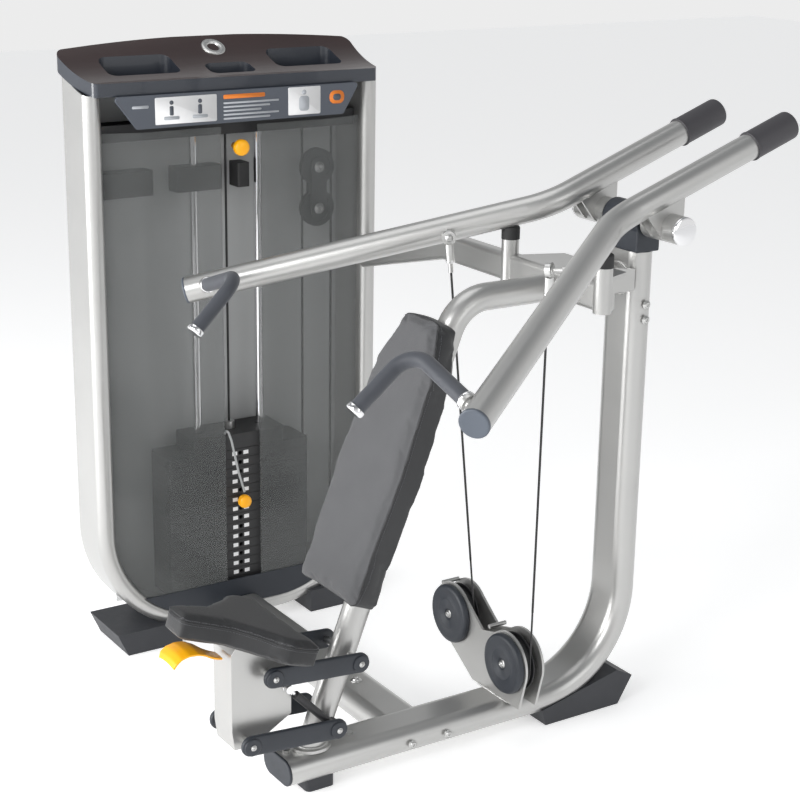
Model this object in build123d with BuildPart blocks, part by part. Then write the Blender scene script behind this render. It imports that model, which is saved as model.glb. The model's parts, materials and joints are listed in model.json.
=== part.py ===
from build123d import *
from math import asin, atan2, cos, degrees, hypot, radians, sin, tan
import os

os.makedirs("parts", exist_ok=True)

# ---------------------------------------------------------------------------
# Shoulder press machine with a selectorised weight stack.
# Frame: millimetres, +Z up from the floor, X = 0 is the mid-plane of the two
# press arms, Y = 0 is the line of the arm stops. The user sits facing -Y.
# "left" is the user's left, on the +X side. The weight tower stands at -X.
# ---------------------------------------------------------------------------

# Main frame: one flat-oval tube bent from the floor rail into the upright.
rail_width = 120
rail_depth = 60
rail_wall = 4
rail_front_y = -697
rail_centre_z = 56
rail_top_z = rail_centre_z + rail_depth / 2
upright_y = 212
upright_top_z = 1104
rail_bend = 240

# Base cross tube to the tower.
cross_y = -368
cross_end_x = -797

# Back support tube, leaning along the back pad.
support_radius = 30.15
support_wall = 3
support_foot = (0, -619, rail_top_z)
support_shoulder = (0, -254, 1038)
support_bend = 100

# Crossbeam with the two bumper posts.
beam_height = 65
beam_depth = 40
beam_z = 1048
beam_y = 8
beam_turn_x = -430
beam_end_x = -800
beam_drop = 93
post_x = 167
post_radius = 20
post_top_z = 1115
bumper_top_z = 1144.6

# Arm pivot.
pivot_y = upright_y
pivot_z = 1172
shaft_radius = 20
shaft_half = 169
hub_radius = 32
hub_inner_x = 66
hub_outer_x = 171
cap_outer_x = 180
running_gap = 0.05

# Press arms (left arm; the right one is its mirror image).
arm_radius = 30.15
arm_wall = 3
arm_front = Vector(572, -613, 982)
arm_bend_point = Vector(113, 69, 1197)
arm_rear = Vector(117, 442, 1331)
arm_bend = 180
arm_sleeve = 125
grip_radius = 16
handle_radius = 12.5
handle_along = 30
handle_apex = Vector(344, -598, 1061)
handle_tip = Vector(330, -716, 954)
handle_bend = 48

# Rod ends and arm cables.
eye = Vector(184, -158, 1130)
ball_radius = 11
ring_radius = 16
ring_width = 12
stud_radius = 5
sleeve_start = 15
sleeve_radius = 9.5
sleeve_end = 54
ferrule_radius = 5.5
ferrule_end = 79
cable_radius = 3

# Base pulleys between two plates that stand across the rail.
pulley_y = -111
pulley_width = 20
pulley_pitch = 62
pulley_rim = 67
far_pulley = (-170, 223)
near_pulley = (48, 182)
plate_front_y = -131
plate_rear_y = -91
plate_thick = 6
plate_lobe = 75
cover_thick = 15
cover_radius = 70
axle_radius = 8

# Weight tower.
tower_x = -873
tower_width = 150
tower_tube = 45
tower_left_y = -729.5
tower_right_y = 19.5
tower_mid_y = (tower_left_y + tower_right_y) / 2
tower_bottom_z = 47.5
tower_bend = 272
tower_wall = 3
tower_floor_z = tower_bottom_z + tower_tube / 2

# Top cap: a dished slab.
dish_radius = 351
dish_thick = 32
dish_x = -745.6
dish_z = 1781.5
dish_start = 230.7
dish_sweep = 34
cap_front_x = -778

# Weight stack.
rod_x = -875
rod_spread = 89
rod_radius = 11
header_z = 1285
plate_count = 15
lifted_count = 6
plate_pitch = 25
plate_gap = 1
stack_base_z = 110
stack_width = 400
stack_back_x = -925
stack_front_x = -815
stack_top_z = stack_base_z + plate_count * plate_pitch
head_thick = 40
selector_radius = 14
pin_radius = 4.5
pin_z = stack_top_z - (lifted_count - 0.5) * plate_pitch

# Tower pulleys, cable strands and floating block.
strand_left_y = -138
sheave_radius = 42.5
sheave_rim = 47
sheave_width = 16
block_y = strand_left_y + sheave_radius
upper_sheave_z = 1180
lower_sheave_z = 1074
lower_sheave_x = rod_x
top_pulley_z = 1345
stack_pulley_y = tower_mid_y + sheave_radius
block_pulley_y = strand_left_y - sheave_radius
block_gap = 9.5
block_plate = 4

# Seat parallelogram.
link_reach = (-208, 16)
lower_pivot = (-594, 151)
upper_pivot = (-540, 293)
link_in_x = 66
link_out_x = 78
link_height = 45
seat_axle_radius = 8
carriage_half = 40
carriage_wall = 3

# Pads.
back_bottom = (-592, 435)
back_lean = 22.1
back_length = 640
back_thick = 55
board_thick = 8
seat_front = (-944, 481)
seat_drop = 17.6
seat_length = 290
seat_thick = 52


def save(piece, label):
    """Name a finished piece and write its STEP file."""
    piece.part.label = label
    export_step(piece.part, f"parts/{label}.step")


def save_mirror(piece, label):
    """Write the mirror image of a left-hand piece for the right-hand side."""
    with BuildPart() as twin:
        mirror(piece.part, about=Plane.YZ)
    save(twin, label)


def tube(points, bend, outer, inner=0):
    """A round tube or bar along straight runs joined by tangent arcs."""
    with BuildPart() as piece:
        with BuildLine() as route:
            if len(points) > 2:
                FilletPolyline(*points, radius=bend)
            else:
                Line(*points)
        with BuildSketch(Plane(origin=route.line @ 0, z_dir=route.line % 0)):
            Circle(outer)
            if inner:
                Circle(inner, mode=Mode.SUBTRACT)
        sweep(path=route.line)
    return piece


def oval_tube(points, bend, width, depth, wall, across=(1, 0, 0)):
    """A flat-oval tube, its width along the given direction."""
    with BuildPart() as piece:
        with BuildLine() as route:
            if len(points) > 2:
                FilletPolyline(*points, radius=bend)
            else:
                Line(*points)
        start = Plane(origin=route.line @ 0, x_dir=across, z_dir=route.line % 0)
        with BuildSketch(start):
            SlotOverall(width, depth)
            if wall:
                SlotOverall(width - 2 * wall, depth - 2 * wall, mode=Mode.SUBTRACT)
        sweep(path=route.line)
    return piece


def grooved_wheel(centre, axis, rim, width, groove_at, groove_half):
    """A cable sheave: grooved rim, thin web and a hub bored for its axle."""
    bore = axle_radius + running_gap
    with BuildPart() as wheel:
        with BuildSketch(Plane(origin=centre, z_dir=axis)):
            Circle(rim)
            Circle(bore, mode=Mode.SUBTRACT)
        extrude(amount=width / 2, both=True)
        web_depth = width / 4
        for side in (1, -1):
            with BuildSketch(Plane(origin=centre, z_dir=axis).offset(side * width / 2)):
                Circle(rim - 12)
                Circle(bore + 8, mode=Mode.SUBTRACT)
            extrude(amount=-side * web_depth, mode=Mode.SUBTRACT)
        turn = Plane(origin=centre, z_dir=axis)
        with BuildSketch(Plane(origin=centre, x_dir=turn.x_dir, z_dir=turn.y_dir)):
            with Locations((rim, 0)):
                Rectangle(2 * (rim - groove_at + cable_radius + 0.4), 2 * groove_half)
        revolve(axis=Axis(centre, axis), mode=Mode.SUBTRACT)
    return wheel


# ---------------------------------------------------------------------------
# Main frame
# ---------------------------------------------------------------------------

rail_route = (
    (0, rail_front_y, rail_centre_z),
    (0, upright_y, rail_centre_z),
    (0, upright_y, upright_top_z),
)
main_frame = oval_tube(rail_route, rail_bend, rail_width, rail_depth, rail_wall)
save(main_frame, "main_frame")

# Plastic plug that closes the front end of the rail.
end_cap_thick = 6
plug_depth = 25
with BuildPart() as rail_end_cap:
    with BuildSketch(Plane.XZ.offset(-rail_front_y)):
        with Locations((0, rail_centre_z)):
            SlotOverall(rail_width, rail_depth)
    extrude(amount=end_cap_thick)
    fillet(rail_end_cap.faces().sort_by(Axis.Y)[0].edges(), 3)
    with BuildSketch(Plane.XZ.offset(-rail_front_y)):
        with Locations((0, rail_centre_z)):
            SlotOverall(rail_width - 2 * rail_wall, rail_depth - 2 * rail_wall)
    extrude(amount=-plug_depth)
save(rail_end_cap, "rail_end_cap")

# Feet: a low one under the rail nose, a wedge under the rail bend and two
# blocks under the tower's lower corners.
rail_solid = oval_tube(rail_route, rail_bend, rail_width, rail_depth, 0)
tower_route = (
    (tower_x, tower_left_y, 1500),
    (tower_x, tower_left_y, tower_bottom_z),
    (tower_x, tower_right_y, tower_bottom_z),
    (tower_x, tower_right_y, 1500),
)
tower_solid = oval_tube(tower_route, tower_bend, tower_width, tower_tube, 0)
with BuildPart() as floor_feet:
    with BuildSketch(Plane.XY):
        with Locations((0, -617)):
            RectangleRounded(88, 70, 12)
    extrude(amount=40)
    with BuildSketch(Plane.YZ.offset(-62)):
        with BuildLine():
            Polyline((-20, 0), (196, 0), (236, 66), (190, 90), (-32, 40), (-20, 0))
        make_face()
    extrude(amount=124)
    with BuildSketch(Plane.YZ.offset(-958)):
        with BuildLine():
            Polyline((-695, 0), (-545, 0), (-545, 60), (-722, 60), (-695, 0))
        make_face()
        with BuildLine():
            Polyline((-165, 0), (-15, 0), (12, 60), (-165, 60), (-165, 0))
        make_face()
    extrude(amount=176)
    add(rail_solid.part, mode=Mode.SUBTRACT)
    add(tower_solid.part, mode=Mode.SUBTRACT)
save(floor_feet, "floor_feet")

# Flat-oval cross tube from the rail to the tower's front corner.
with BuildPart() as base_cross_tube:
    with BuildSketch(Plane.YZ.offset(cross_end_x)):
        with Locations((cross_y, rail_centre_z - 1)):
            SlotOverall(rail_width, rail_depth)
            SlotOverall(rail_width - 2 * rail_wall, rail_depth - 2 * rail_wall, mode=Mode.SUBTRACT)
    extrude(amount=-cross_end_x)
    add(rail_solid.part, mode=Mode.SUBTRACT)
save(base_cross_tube, "base_cross_tube")

# Back support tube with its weld ring at the upright.
upright_face_y = upright_y - rail_depth / 2
support_points = (support_foot, support_shoulder, (0, upright_face_y, support_shoulder[2]))
with BuildPart() as back_support_tube:
    add(tube(support_points, support_bend, support_radius).part)
    with BuildSketch(Plane.XZ.offset(-upright_face_y)):
        with Locations((0, support_shoulder[2])):
            Circle(support_radius + 6)
    extrude(amount=10)
    with BuildSketch(Plane.XY.offset(rail_top_z)):
        with Locations((0, support_foot[1])):
            SlotOverall(92, 84, rotation=90)
    extrude(amount=7)
    add(tube(support_points, support_bend, support_radius - support_wall).part, mode=Mode.SUBTRACT)
    with BuildSketch(Plane.XY.offset(rail_top_z)):
        with Locations((0, support_foot[1])):
            Rectangle(200, 200)
    extrude(amount=-60, mode=Mode.SUBTRACT)
    for pivot in (lower_pivot, upper_pivot):
        with BuildSketch(Plane.YZ.offset(-support_radius - 1)):
            with Locations(pivot):
                Circle(seat_axle_radius)
        extrude(amount=2 * support_radius + 2, mode=Mode.SUBTRACT)
save(back_support_tube, "back_support_tube")

# Crossbeam: between the posts, past the far post and bent down to the tower,
# with the two posts and the plate that ties it back to the upright.
beam_route = (
    (post_x, beam_y, beam_z),
    (beam_turn_x, beam_y, beam_z),
    (beam_end_x, beam_y, beam_z - beam_drop),
)
with BuildPart() as crossbeam:
    with BuildLine() as beam_line:
        FilletPolyline(*beam_route, radius=150)
    start = Plane(origin=beam_line.line @ 0, x_dir=(0, 1, 0), z_dir=beam_line.line % 0)
    with BuildSketch(start):
        RectangleRounded(beam_depth, beam_height, 12)
    sweep(path=beam_line.line)
    with BuildSketch(Plane.XY.offset(beam_z - beam_height / 2)):
        with Locations((post_x, 0), (-post_x, 0)):
            Circle(post_radius)
    extrude(amount=post_top_z - beam_z + beam_height / 2)
    with BuildSketch(Plane.XY.offset(beam_z + beam_height / 2 - 10)):
        with BuildLine():
            Polyline((-150, beam_y), (150, beam_y), (110, 112), (-110, 112), (-150, beam_y))
        make_face()
    extrude(amount=10)
    for side in (-1, 1):
        with BuildSketch(Plane.YZ.offset(side * 52 - 4)):
            with BuildLine():
                Polyline(
                    (beam_y + 15, beam_z - 28),
                    (upright_face_y, beam_z - 28),
                    (upright_face_y, beam_z + 20),
                    (112, beam_z + 31),
                    (beam_y + 15, beam_z + 31),
                    (beam_y + 15, beam_z - 28),
                )
            make_face()
        extrude(amount=8)
    hollow = Plane(origin=beam_line.line @ 0, x_dir=(0, 1, 0), z_dir=beam_line.line % 0)
    with BuildSketch(hollow):
        RectangleRounded(beam_depth - 8, beam_height - 8, 8)
    sweep(path=beam_line.line, mode=Mode.SUBTRACT)
    with BuildSketch(Plane.YZ.offset(post_x + 12)):
        with Locations((beam_y, beam_z)):
            RectangleRounded(beam_depth - 10, beam_height - 10, 6)
    extrude(amount=-18)
    add(tower_solid.part, mode=Mode.SUBTRACT)
    add(tube(support_points, support_bend, support_radius).part, mode=Mode.SUBTRACT)
save(crossbeam, "crossbeam")

# Two rubber bumpers on the posts, each with a saddle under its arm.
arm_line = (arm_bend_point - arm_front).normalized()
rear_line = (arm_rear - arm_bend_point).normalized()
tube_tip = arm_rear + rear_line * (arm_sleeve - 12)
arm_points = (arm_front, arm_bend_point, tube_tip)
with BuildPart() as rubber_bumpers:
    with BuildSketch(Plane.XY.offset(post_top_z)):
        with Locations((post_x, 0), (-post_x, 0)):
            Circle(post_radius + 1)
    extrude(amount=bumper_top_z - post_top_z)
    fillet(rubber_bumpers.faces().filter_by(Axis.Z).group_by(Axis.Z)[-1].edges(), 5)
    resting_arm = tube(arm_points, arm_bend, arm_radius + 0.3).part
    add(resting_arm, mode=Mode.SUBTRACT)
    add(resting_arm.mirror(Plane.YZ), mode=Mode.SUBTRACT)
save(rubber_bumpers, "rubber_bumpers")

# Housing on top of the upright, clamped on the pivot shaft.
housing_half = 60
housing_front_y = 180
housing_rear_y = 246
housing_radius = 38
with BuildPart() as pivot_housing:
    with BuildSketch(Plane.YZ.offset(-housing_half)):
        with Locations((pivot_y, pivot_z)):
            Circle(housing_radius)
        housing_mid_z = (upright_top_z + pivot_z) / 2
        housing_mid_y = (housing_front_y + housing_rear_y) / 2
        with Locations((housing_mid_y, housing_mid_z)):
            Rectangle(housing_rear_y - housing_front_y, pivot_z - upright_top_z)
        with Locations((pivot_y, pivot_z)):
            Circle(shaft_radius, mode=Mode.SUBTRACT)
    extrude(amount=2 * housing_half)
save(pivot_housing, "pivot_housing")

with BuildPart() as pivot_shaft:
    with BuildSketch(Plane.YZ.offset(-shaft_half)):
        with Locations((pivot_y, pivot_z)):
            Circle(shaft_radius)
    extrude(amount=2 * shaft_half)
save(pivot_shaft, "pivot_shaft")

# ---------------------------------------------------------------------------
# Press arms
# ---------------------------------------------------------------------------

handle_foot = arm_front + arm_line * handle_along
handle_line = (handle_apex - handle_foot).normalized()
tip_line = (handle_tip - handle_apex).normalized()
stud_foot = arm_front + arm_line * (eye - arm_front).dot(arm_line)
stud_line = (stud_foot - eye).normalized()
handle_points = (handle_foot, handle_apex, handle_tip)
root_collar = 49
collar_thick = 6
collar_radius = 17.5
tip_collar = 7
gusset_stations = (94, 130)
gusset_thick = 6

# Welded arm: bent tube, bent handle core, gussets, bored hub and ball stud.
with BuildPart() as left_arm:
    add(tube(arm_points, arm_bend, arm_radius).part)
    add(tube(handle_points, handle_bend, handle_radius).part)
    with BuildSketch(Plane(origin=handle_foot + handle_line * root_collar, z_dir=handle_line)):
        Circle(collar_radius)
    extrude(amount=-collar_thick - 8)
    with BuildSketch(Plane(origin=handle_tip, z_dir=tip_line)):
        Circle(collar_radius)
    extrude(amount=-tip_collar)
    with BuildSketch(Plane.YZ.offset(hub_inner_x)):
        with Locations((pivot_y, pivot_z)):
            Circle(hub_radius)
    extrude(amount=hub_outer_x - hub_inner_x)
    for station in gusset_stations:
        with BuildSketch(Plane.YZ.offset(station)):
            with BuildLine():
                Polyline(
                    (132, 1214),
                    (182, 1152),
                    (206, 1142),
                    (244, 1168),
                    (244, 1256),
                    (132, 1214),
                )
            make_face()
        extrude(amount=gusset_thick)
    with BuildSketch(Plane(origin=eye, z_dir=stud_line)):
        Circle(stud_radius)
    extrude(amount=(stud_foot - eye).length)
    with BuildSketch(Plane(origin=eye + stud_line * 30, z_dir=stud_line)):
        RegularPolygon(9, 6)
    extrude(amount=12)
    with Locations(eye):
        Sphere(ball_radius)
    add(tube(arm_points, arm_bend, arm_radius - arm_wall).part, mode=Mode.SUBTRACT)
    with BuildSketch(Plane.YZ.offset(hub_inner_x)):
        with Locations((pivot_y, pivot_z)):
            Circle(shaft_radius + running_gap)
    extrude(amount=hub_outer_x - hub_inner_x, mode=Mode.SUBTRACT)
save(left_arm, "left_arm")
save_mirror(left_arm, "right_arm")

# Long sleeve on the rear end of the arm and the plug in its front end.
sleeve_radius_out = 33
with BuildPart() as left_arm_caps:
    with BuildSketch(Plane(origin=arm_rear, z_dir=rear_line)):
        Circle(sleeve_radius_out)
    extrude(amount=arm_sleeve)
    fillet(left_arm_caps.faces().sort_by(Axis(arm_rear, rear_line))[-1].edges(), 8)
    with BuildSketch(Plane(origin=arm_rear, z_dir=rear_line)):
        Circle(arm_radius)
    extrude(amount=arm_sleeve - 12, mode=Mode.SUBTRACT)
    with BuildSketch(Plane(origin=arm_front, z_dir=-arm_line)):
        Circle(arm_radius)
    extrude(amount=4)
    with BuildSketch(Plane(origin=arm_front, z_dir=arm_line)):
        Circle(arm_radius - arm_wall)
        Circle(arm_radius - arm_wall - 4, mode=Mode.SUBTRACT)
    extrude(amount=18)
save(left_arm_caps, "left_arm_caps")
save_mirror(left_arm_caps, "right_arm_caps")

# Rubber grip over the whole handle between the two collars.
grip_start = handle_foot + handle_line * root_collar
grip_end = handle_tip - tip_line * tip_collar
grip_points = (grip_start, handle_apex, grip_end)
left_grip = tube(grip_points, handle_bend, grip_radius, handle_radius + 0.02)
save(left_grip, "left_grip")
save_mirror(left_grip, "right_grip")

# Bright cap on the outer end of the hub.
with BuildPart() as left_pivot_cap:
    with BuildSketch(Plane.YZ.offset(hub_outer_x)):
        with Locations((pivot_y, pivot_z)):
            Circle(hub_radius)
    extrude(amount=cap_outer_x - hub_outer_x)
    fillet(left_pivot_cap.faces().sort_by(Axis.X)[-1].edges(), 4)
save(left_pivot_cap, "left_pivot_cap")
save_mirror(left_pivot_cap, "right_pivot_cap")

# ---------------------------------------------------------------------------
# Arm cables and their base pulleys
# ---------------------------------------------------------------------------


def cable_corner(eye_x, pulley):
    """Where the falling cable's line meets the level line under its pulley."""
    reach_x = pulley[0] - eye_x
    reach_z = pulley[1] - eye.Z
    turn = asin(pulley_pitch / hypot(reach_x, reach_z))
    heading = atan2(reach_z, reach_x) + turn
    corner_z = pulley[1] - pulley_pitch
    corner_x = eye_x + (corner_z - eye.Z) / tan(heading)
    return Vector(corner_x, pulley_y, corner_z)


cable_tail = 8


def rod_end_and_cable(side, pulley, name):
    """One rod end with its ferrules, and the cable from it round its pulley."""
    eye_point = Vector(side * eye.X, eye.Y, eye.Z)
    bore_line = Vector(side * stud_line.X, stud_line.Y, stud_line.Z)
    corner = cable_corner(eye_point.X, pulley)
    down = (corner - eye_point).normalized()
    with BuildPart() as rod_end:
        with BuildSketch(Plane(origin=eye_point, z_dir=bore_line)):
            Circle(ring_radius)
        extrude(amount=ring_width / 2, both=True)
        with BuildSketch(Plane(origin=eye_point + down * sleeve_start, z_dir=down)):
            Circle(sleeve_radius)
        extrude(amount=sleeve_end - sleeve_start)
        with BuildSketch(Plane(origin=eye_point + down * sleeve_end, z_dir=down)):
            Circle(ferrule_radius)
        extrude(amount=ferrule_end - sleeve_end)
        with Locations(Plane(origin=eye_point, z_dir=bore_line)):
            Sphere(ball_radius + 0.1, mode=Mode.SUBTRACT)
    save(rod_end, f"{name}_rod_end")
    turn = Vector(-1, 0, 0).get_angle(down)
    tail = pulley_pitch * tan(radians(turn / 2)) + cable_tail
    cable_end = corner + Vector(-tail, 0, 0)
    route = (eye_point + down * ferrule_end, corner, cable_end)
    save(tube(route, pulley_pitch, cable_radius), f"{name}_cable")


rod_end_and_cable(1, near_pulley, "left")
rod_end_and_cable(-1, far_pulley, "right")

for name, pulley in (("left", near_pulley), ("right", far_pulley)):
    centre = (pulley[0], pulley_y, pulley[1])
    wheel = grooved_wheel(centre, (0, 1, 0), pulley_rim, pulley_width, pulley_pitch, 7.7)
    save(wheel, f"{name}_base_pulley")

# Twin bean-shaped plates with the pulley axles and cable keepers.
with BuildPart() as pulley_bracket:
    for face_y in (plate_front_y, plate_rear_y + plate_thick):
        with BuildSketch(Plane.XZ.offset(-face_y)):
            with BuildLine():
                Polyline(
                    (-233, 182),
                    (-83, rail_top_z),
                    (100, rail_top_z),
                    (118, 155),
                    (62, 256),
                    (-50, 226),
                    (-117, 276),
                    (-170, 223),
                    (-233, 182),
                )
            make_face()
            with Locations(far_pulley, near_pulley):
                Circle(plate_lobe)
        extrude(amount=-plate_thick)
    with BuildSketch(Plane.XZ.offset(-plate_front_y)):
        with Locations(far_pulley, near_pulley):
            Circle(axle_radius)
    extrude(amount=-(plate_rear_y + plate_thick - plate_front_y))
    with BuildSketch(Plane.XZ.offset(-plate_front_y)):
        with Locations((-215, 285), (-22, 245), (-60, 120)):
            Circle(5)
    extrude(amount=-(plate_rear_y + plate_thick - plate_front_y))
    add(rail_solid.part, mode=Mode.SUBTRACT)
save(pulley_bracket, "pulley_bracket")

with BuildPart() as pulley_covers:
    with BuildSketch(Plane.XZ.offset(-plate_front_y)):
        with Locations(far_pulley, near_pulley):
            Circle(cover_radius)
    extrude(amount=cover_thick)
    front_faces = pulley_covers.faces().filter_by(Axis.Y).group_by(Axis.Y)[0]
    fillet(front_faces.edges(), 5)
    with BuildSketch(Plane.XZ.offset(cover_thick - plate_front_y)):
        with Locations(far_pulley, near_pulley):
            Circle(11)
    extrude(amount=-5, mode=Mode.SUBTRACT)
save(pulley_covers, "pulley_covers")

# ---------------------------------------------------------------------------
# Weight tower
# ---------------------------------------------------------------------------

with BuildPart() as cap_slab:
    with BuildSketch(Plane.XZ.offset(800)):
        with BuildLine():
            under = CenterArc((dish_x, dish_z), dish_radius + dish_thick, dish_start, dish_sweep)
            top = CenterArc((dish_x, dish_z), dish_radius, dish_start, dish_sweep)
            Line(under @ 0, top @ 0)
            Line(under @ 1, top @ 1)
        make_face()
    extrude(amount=-900)

# Everything above the cap's underside, used to trim the column tops.
with BuildPart() as above_cap:
    with BuildSketch(Plane.XZ.offset(800)):
        with BuildLine():
            under = CenterArc((dish_x, dish_z), dish_radius + dish_thick, dish_start, dish_sweep)
            Polyline(under @ 1, (-700, 1402), (-700, 1800), (-1100, 1800), under @ 0)
        make_face()
    extrude(amount=-900)

with BuildPart() as tower_frame:
    add(oval_tube(tower_route, tower_bend, tower_width, tower_tube, tower_wall).part)
    add(above_cap.part, mode=Mode.SUBTRACT)
save(tower_frame, "tower_frame")

# Steel back panel inside the frame loop.
panel_edge = 16
panel_left_y = tower_left_y + panel_edge
panel_right_y = tower_right_y - panel_edge
panel_bottom_z = tower_bottom_z + panel_edge
panel_x = -943
panel_top_z = 1402
with BuildPart() as tower_rear_panel:
    with BuildSketch(Plane.YZ.offset(panel_x)):
        with BuildLine():
            FilletPolyline(
                (panel_left_y, panel_top_z),
                (panel_left_y, panel_bottom_z),
                (panel_right_y, panel_bottom_z),
                (panel_right_y, panel_top_z),
                radius=tower_bend - panel_edge,
            )
            Line((panel_right_y, panel_top_z), (panel_left_y, panel_top_z))
        make_face()
    extrude(amount=2)
    add(tower_solid.part, mode=Mode.SUBTRACT)
save(tower_rear_panel, "tower_rear_panel")

# Bowl-shaped skirt across the foot of the tower, with an inward shelf.
skirt_top_z = 135
skirt_x = -803
with BuildPart() as tower_base_cover:
    with BuildSketch(Plane.YZ.offset(skirt_x)):
        with BuildLine():
            FilletPolyline(
                (panel_left_y, 500),
                (panel_left_y, panel_bottom_z),
                (panel_right_y, panel_bottom_z),
                (panel_right_y, 500),
                radius=tower_bend - panel_edge,
            )
            Line((panel_right_y, 500), (panel_left_y, 500))
        make_face()
        with Locations((tower_mid_y, skirt_top_z + 250)):
            Rectangle(900, 500, mode=Mode.SUBTRACT)
    extrude(amount=4)
    add(tower_solid.part, mode=Mode.SUBTRACT)
save(tower_base_cover, "tower_base_cover")

# Smoked shroud: two panels with a slot between them, each with a wing angled
# back to its column.
shroud_x = -803
shroud_thick = 4
shroud_top_z = 1311
shroud_bottom_z = skirt_top_z + 1
slot_left_y = -405
slot_right_y = -305
with BuildPart() as shroud_panels:
    with BuildSketch(Plane.XY.offset(shroud_bottom_z)):
        with BuildLine():
            Polyline(
                (shroud_x, slot_left_y),
                (shroud_x, -611),
                (shroud_x - 24, -704),
                (shroud_x - 20, -704),
                (shroud_x + shroud_thick, -611),
                (shroud_x + shroud_thick, slot_left_y),
                (shroud_x, slot_left_y),
            )
        make_face()
        with BuildLine():
            Polyline(
                (shroud_x, slot_right_y),
                (shroud_x, -99),
                (shroud_x - 24, -6),
                (shroud_x - 20, -6),
                (shroud_x + shroud_thick, -99),
                (shroud_x + shroud_thick, slot_right_y),
                (shroud_x, slot_right_y),
            )
        make_face()
    extrude(amount=shroud_top_z - shroud_bottom_z)
    add(tower_solid.part, mode=Mode.SUBTRACT)
save(shroud_panels, "shroud_panels")

# Top cap: the dished slab trimmed to its plan shape, with a block inside the
# tower that carries three flat-floored storage pockets.
pocket_floor_z = 1410
with BuildPart() as cap_plan:
    with BuildSketch(Plane.XY.offset(1350)):
        with BuildLine():
            Polyline((-946, -765), (cap_front_x, -734), (cap_front_x, 28), (-946, 36))
            ThreePointArc((-946, 36), (-969, -365), (-946, -765))
        make_face()
        fillet(vertices(), 22)
    extrude(amount=300)

with BuildPart() as top_cap:
    add(cap_slab.part)
    add(cap_plan.part, mode=Mode.INTERSECT)
    with BuildSketch(Plane.XZ.offset(700)):
        with BuildLine():
            lid = CenterArc((dish_x, dish_z), dish_radius + 2, dish_start + 5, dish_sweep - 7)
            Polyline(lid @ 0, ((lid @ 0).X, 1404), ((lid @ 1).X, 1404), lid @ 1)
        make_face()
    extrude(amount=-690)
    with BuildSketch(Plane.XY.offset(pocket_floor_z)):
        for near_y, far_y in ((-700, -455), (-255, -10)):
            middle = (near_y + far_y) / 2
            with Locations((-875, middle)):
                RectangleRounded(86, far_y - near_y - 60, 22)
        with Locations((-842, tower_mid_y)):
            RectangleRounded(60, 120, 20)
    extrude(amount=200, mode=Mode.SUBTRACT)
save(top_cap, "top_cap")

# Instruction placard hung below the cap's front edge.
placard_x = -776
placard_thick = 6
with BuildPart() as placard:
    with BuildSketch(Plane.YZ.offset(placard_x)):
        with BuildLine():
            Polyline((-697, 1401), (-637, 1323), (-80, 1325), (-33, 1401), (-697, 1401))
        make_face()
        fillet(vertices(), 8)
    extrude(amount=placard_thick)
save(placard, "placard")

# ---------------------------------------------------------------------------
# Weight stack
# ---------------------------------------------------------------------------

rod_places = ((rod_x, tower_mid_y - rod_spread), (rod_x, tower_mid_y + rod_spread))

with BuildPart() as guide_rods:
    with BuildSketch(Plane.XY.offset(tower_floor_z)):
        with Locations(*rod_places):
            Circle(rod_radius)
    extrude(amount=header_z - tower_floor_z)
save(guide_rods, "guide_rods")

# Open channel across the top that holds the rods and both top pulleys.
header_left_y = -706
header_right_y = -4
header_half = 30
header_wall = 4
header_top_z = 1325
ear_top_z = 1368
with BuildPart() as rod_header:
    with BuildSketch(Plane.XY.offset(header_z)):
        with Locations((rod_x, tower_mid_y)):
            Rectangle(2 * header_half, header_right_y - header_left_y)
    extrude(amount=header_top_z - header_z)
    for pulley_centre in (stack_pulley_y, block_pulley_y):
        with BuildSketch(Plane.XY.offset(header_top_z)):
            with Locations((rod_x, pulley_centre)):
                Rectangle(2 * header_half, 40)
        extrude(amount=ear_top_z - header_top_z)
    with BuildSketch(Plane.XY.offset(header_z + 5)):
        with Locations((rod_x, tower_mid_y)):
            Rectangle(2 * (header_half - header_wall), 800)
    extrude(amount=200, mode=Mode.SUBTRACT)
    for pulley_centre in (stack_pulley_y, block_pulley_y):
        with BuildSketch(Plane.YZ.offset(rod_x - header_half)):
            with Locations((pulley_centre, top_pulley_z)):
                Circle(axle_radius)
        extrude(amount=2 * header_half)
    with BuildSketch(Plane.XY.offset(header_z)):
        with Locations((rod_x, tower_mid_y), (rod_x, strand_left_y), (rod_x, block_y + sheave_radius)):
            Circle(7)
    extrude(amount=6, mode=Mode.SUBTRACT)
save(rod_header, "rod_header")

# Rubber springs under the stack.
with BuildPart() as stack_cushions:
    with BuildSketch(Plane.XY.offset(tower_floor_z)):
        with Locations(*rod_places):
            Circle(26)
            Circle(rod_radius + 0.5, mode=Mode.SUBTRACT)
    extrude(amount=stack_base_z - tower_floor_z)
    add(tower_solid.part, mode=Mode.SUBTRACT)
save(stack_cushions, "stack_cushions")


def weight_plates(first, count):
    """Plates from the given level up, bored for the rods, spine and pin."""
    depth = stack_front_x - stack_back_x
    middle_x = (stack_front_x + stack_back_x) / 2
    with BuildPart() as plates:
        for level in range(first, first + count):
            base = stack_base_z + level * plate_pitch
            with BuildSketch(Plane.XY.offset(base)):
                with Locations((middle_x, tower_mid_y)):
                    RectangleRounded(depth, stack_width, 8)
                with Locations(*rod_places):
                    Circle(rod_radius + 1.5, mode=Mode.SUBTRACT)
                with Locations((rod_x, tower_mid_y)):
                    Circle(selector_radius + 1.5, mode=Mode.SUBTRACT)
            extrude(amount=plate_pitch - plate_gap)
            with BuildSketch(Plane.YZ.offset(stack_front_x)):
                with Locations((tower_mid_y, base + plate_pitch / 2)):
                    Circle(pin_radius + 1)
            extrude(amount=-50, mode=Mode.SUBTRACT)
    return plates


resting_count = plate_count - lifted_count
save(weight_plates(0, resting_count), "resting_plates")
save(weight_plates(resting_count, lifted_count), "lifted_plates")

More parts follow.
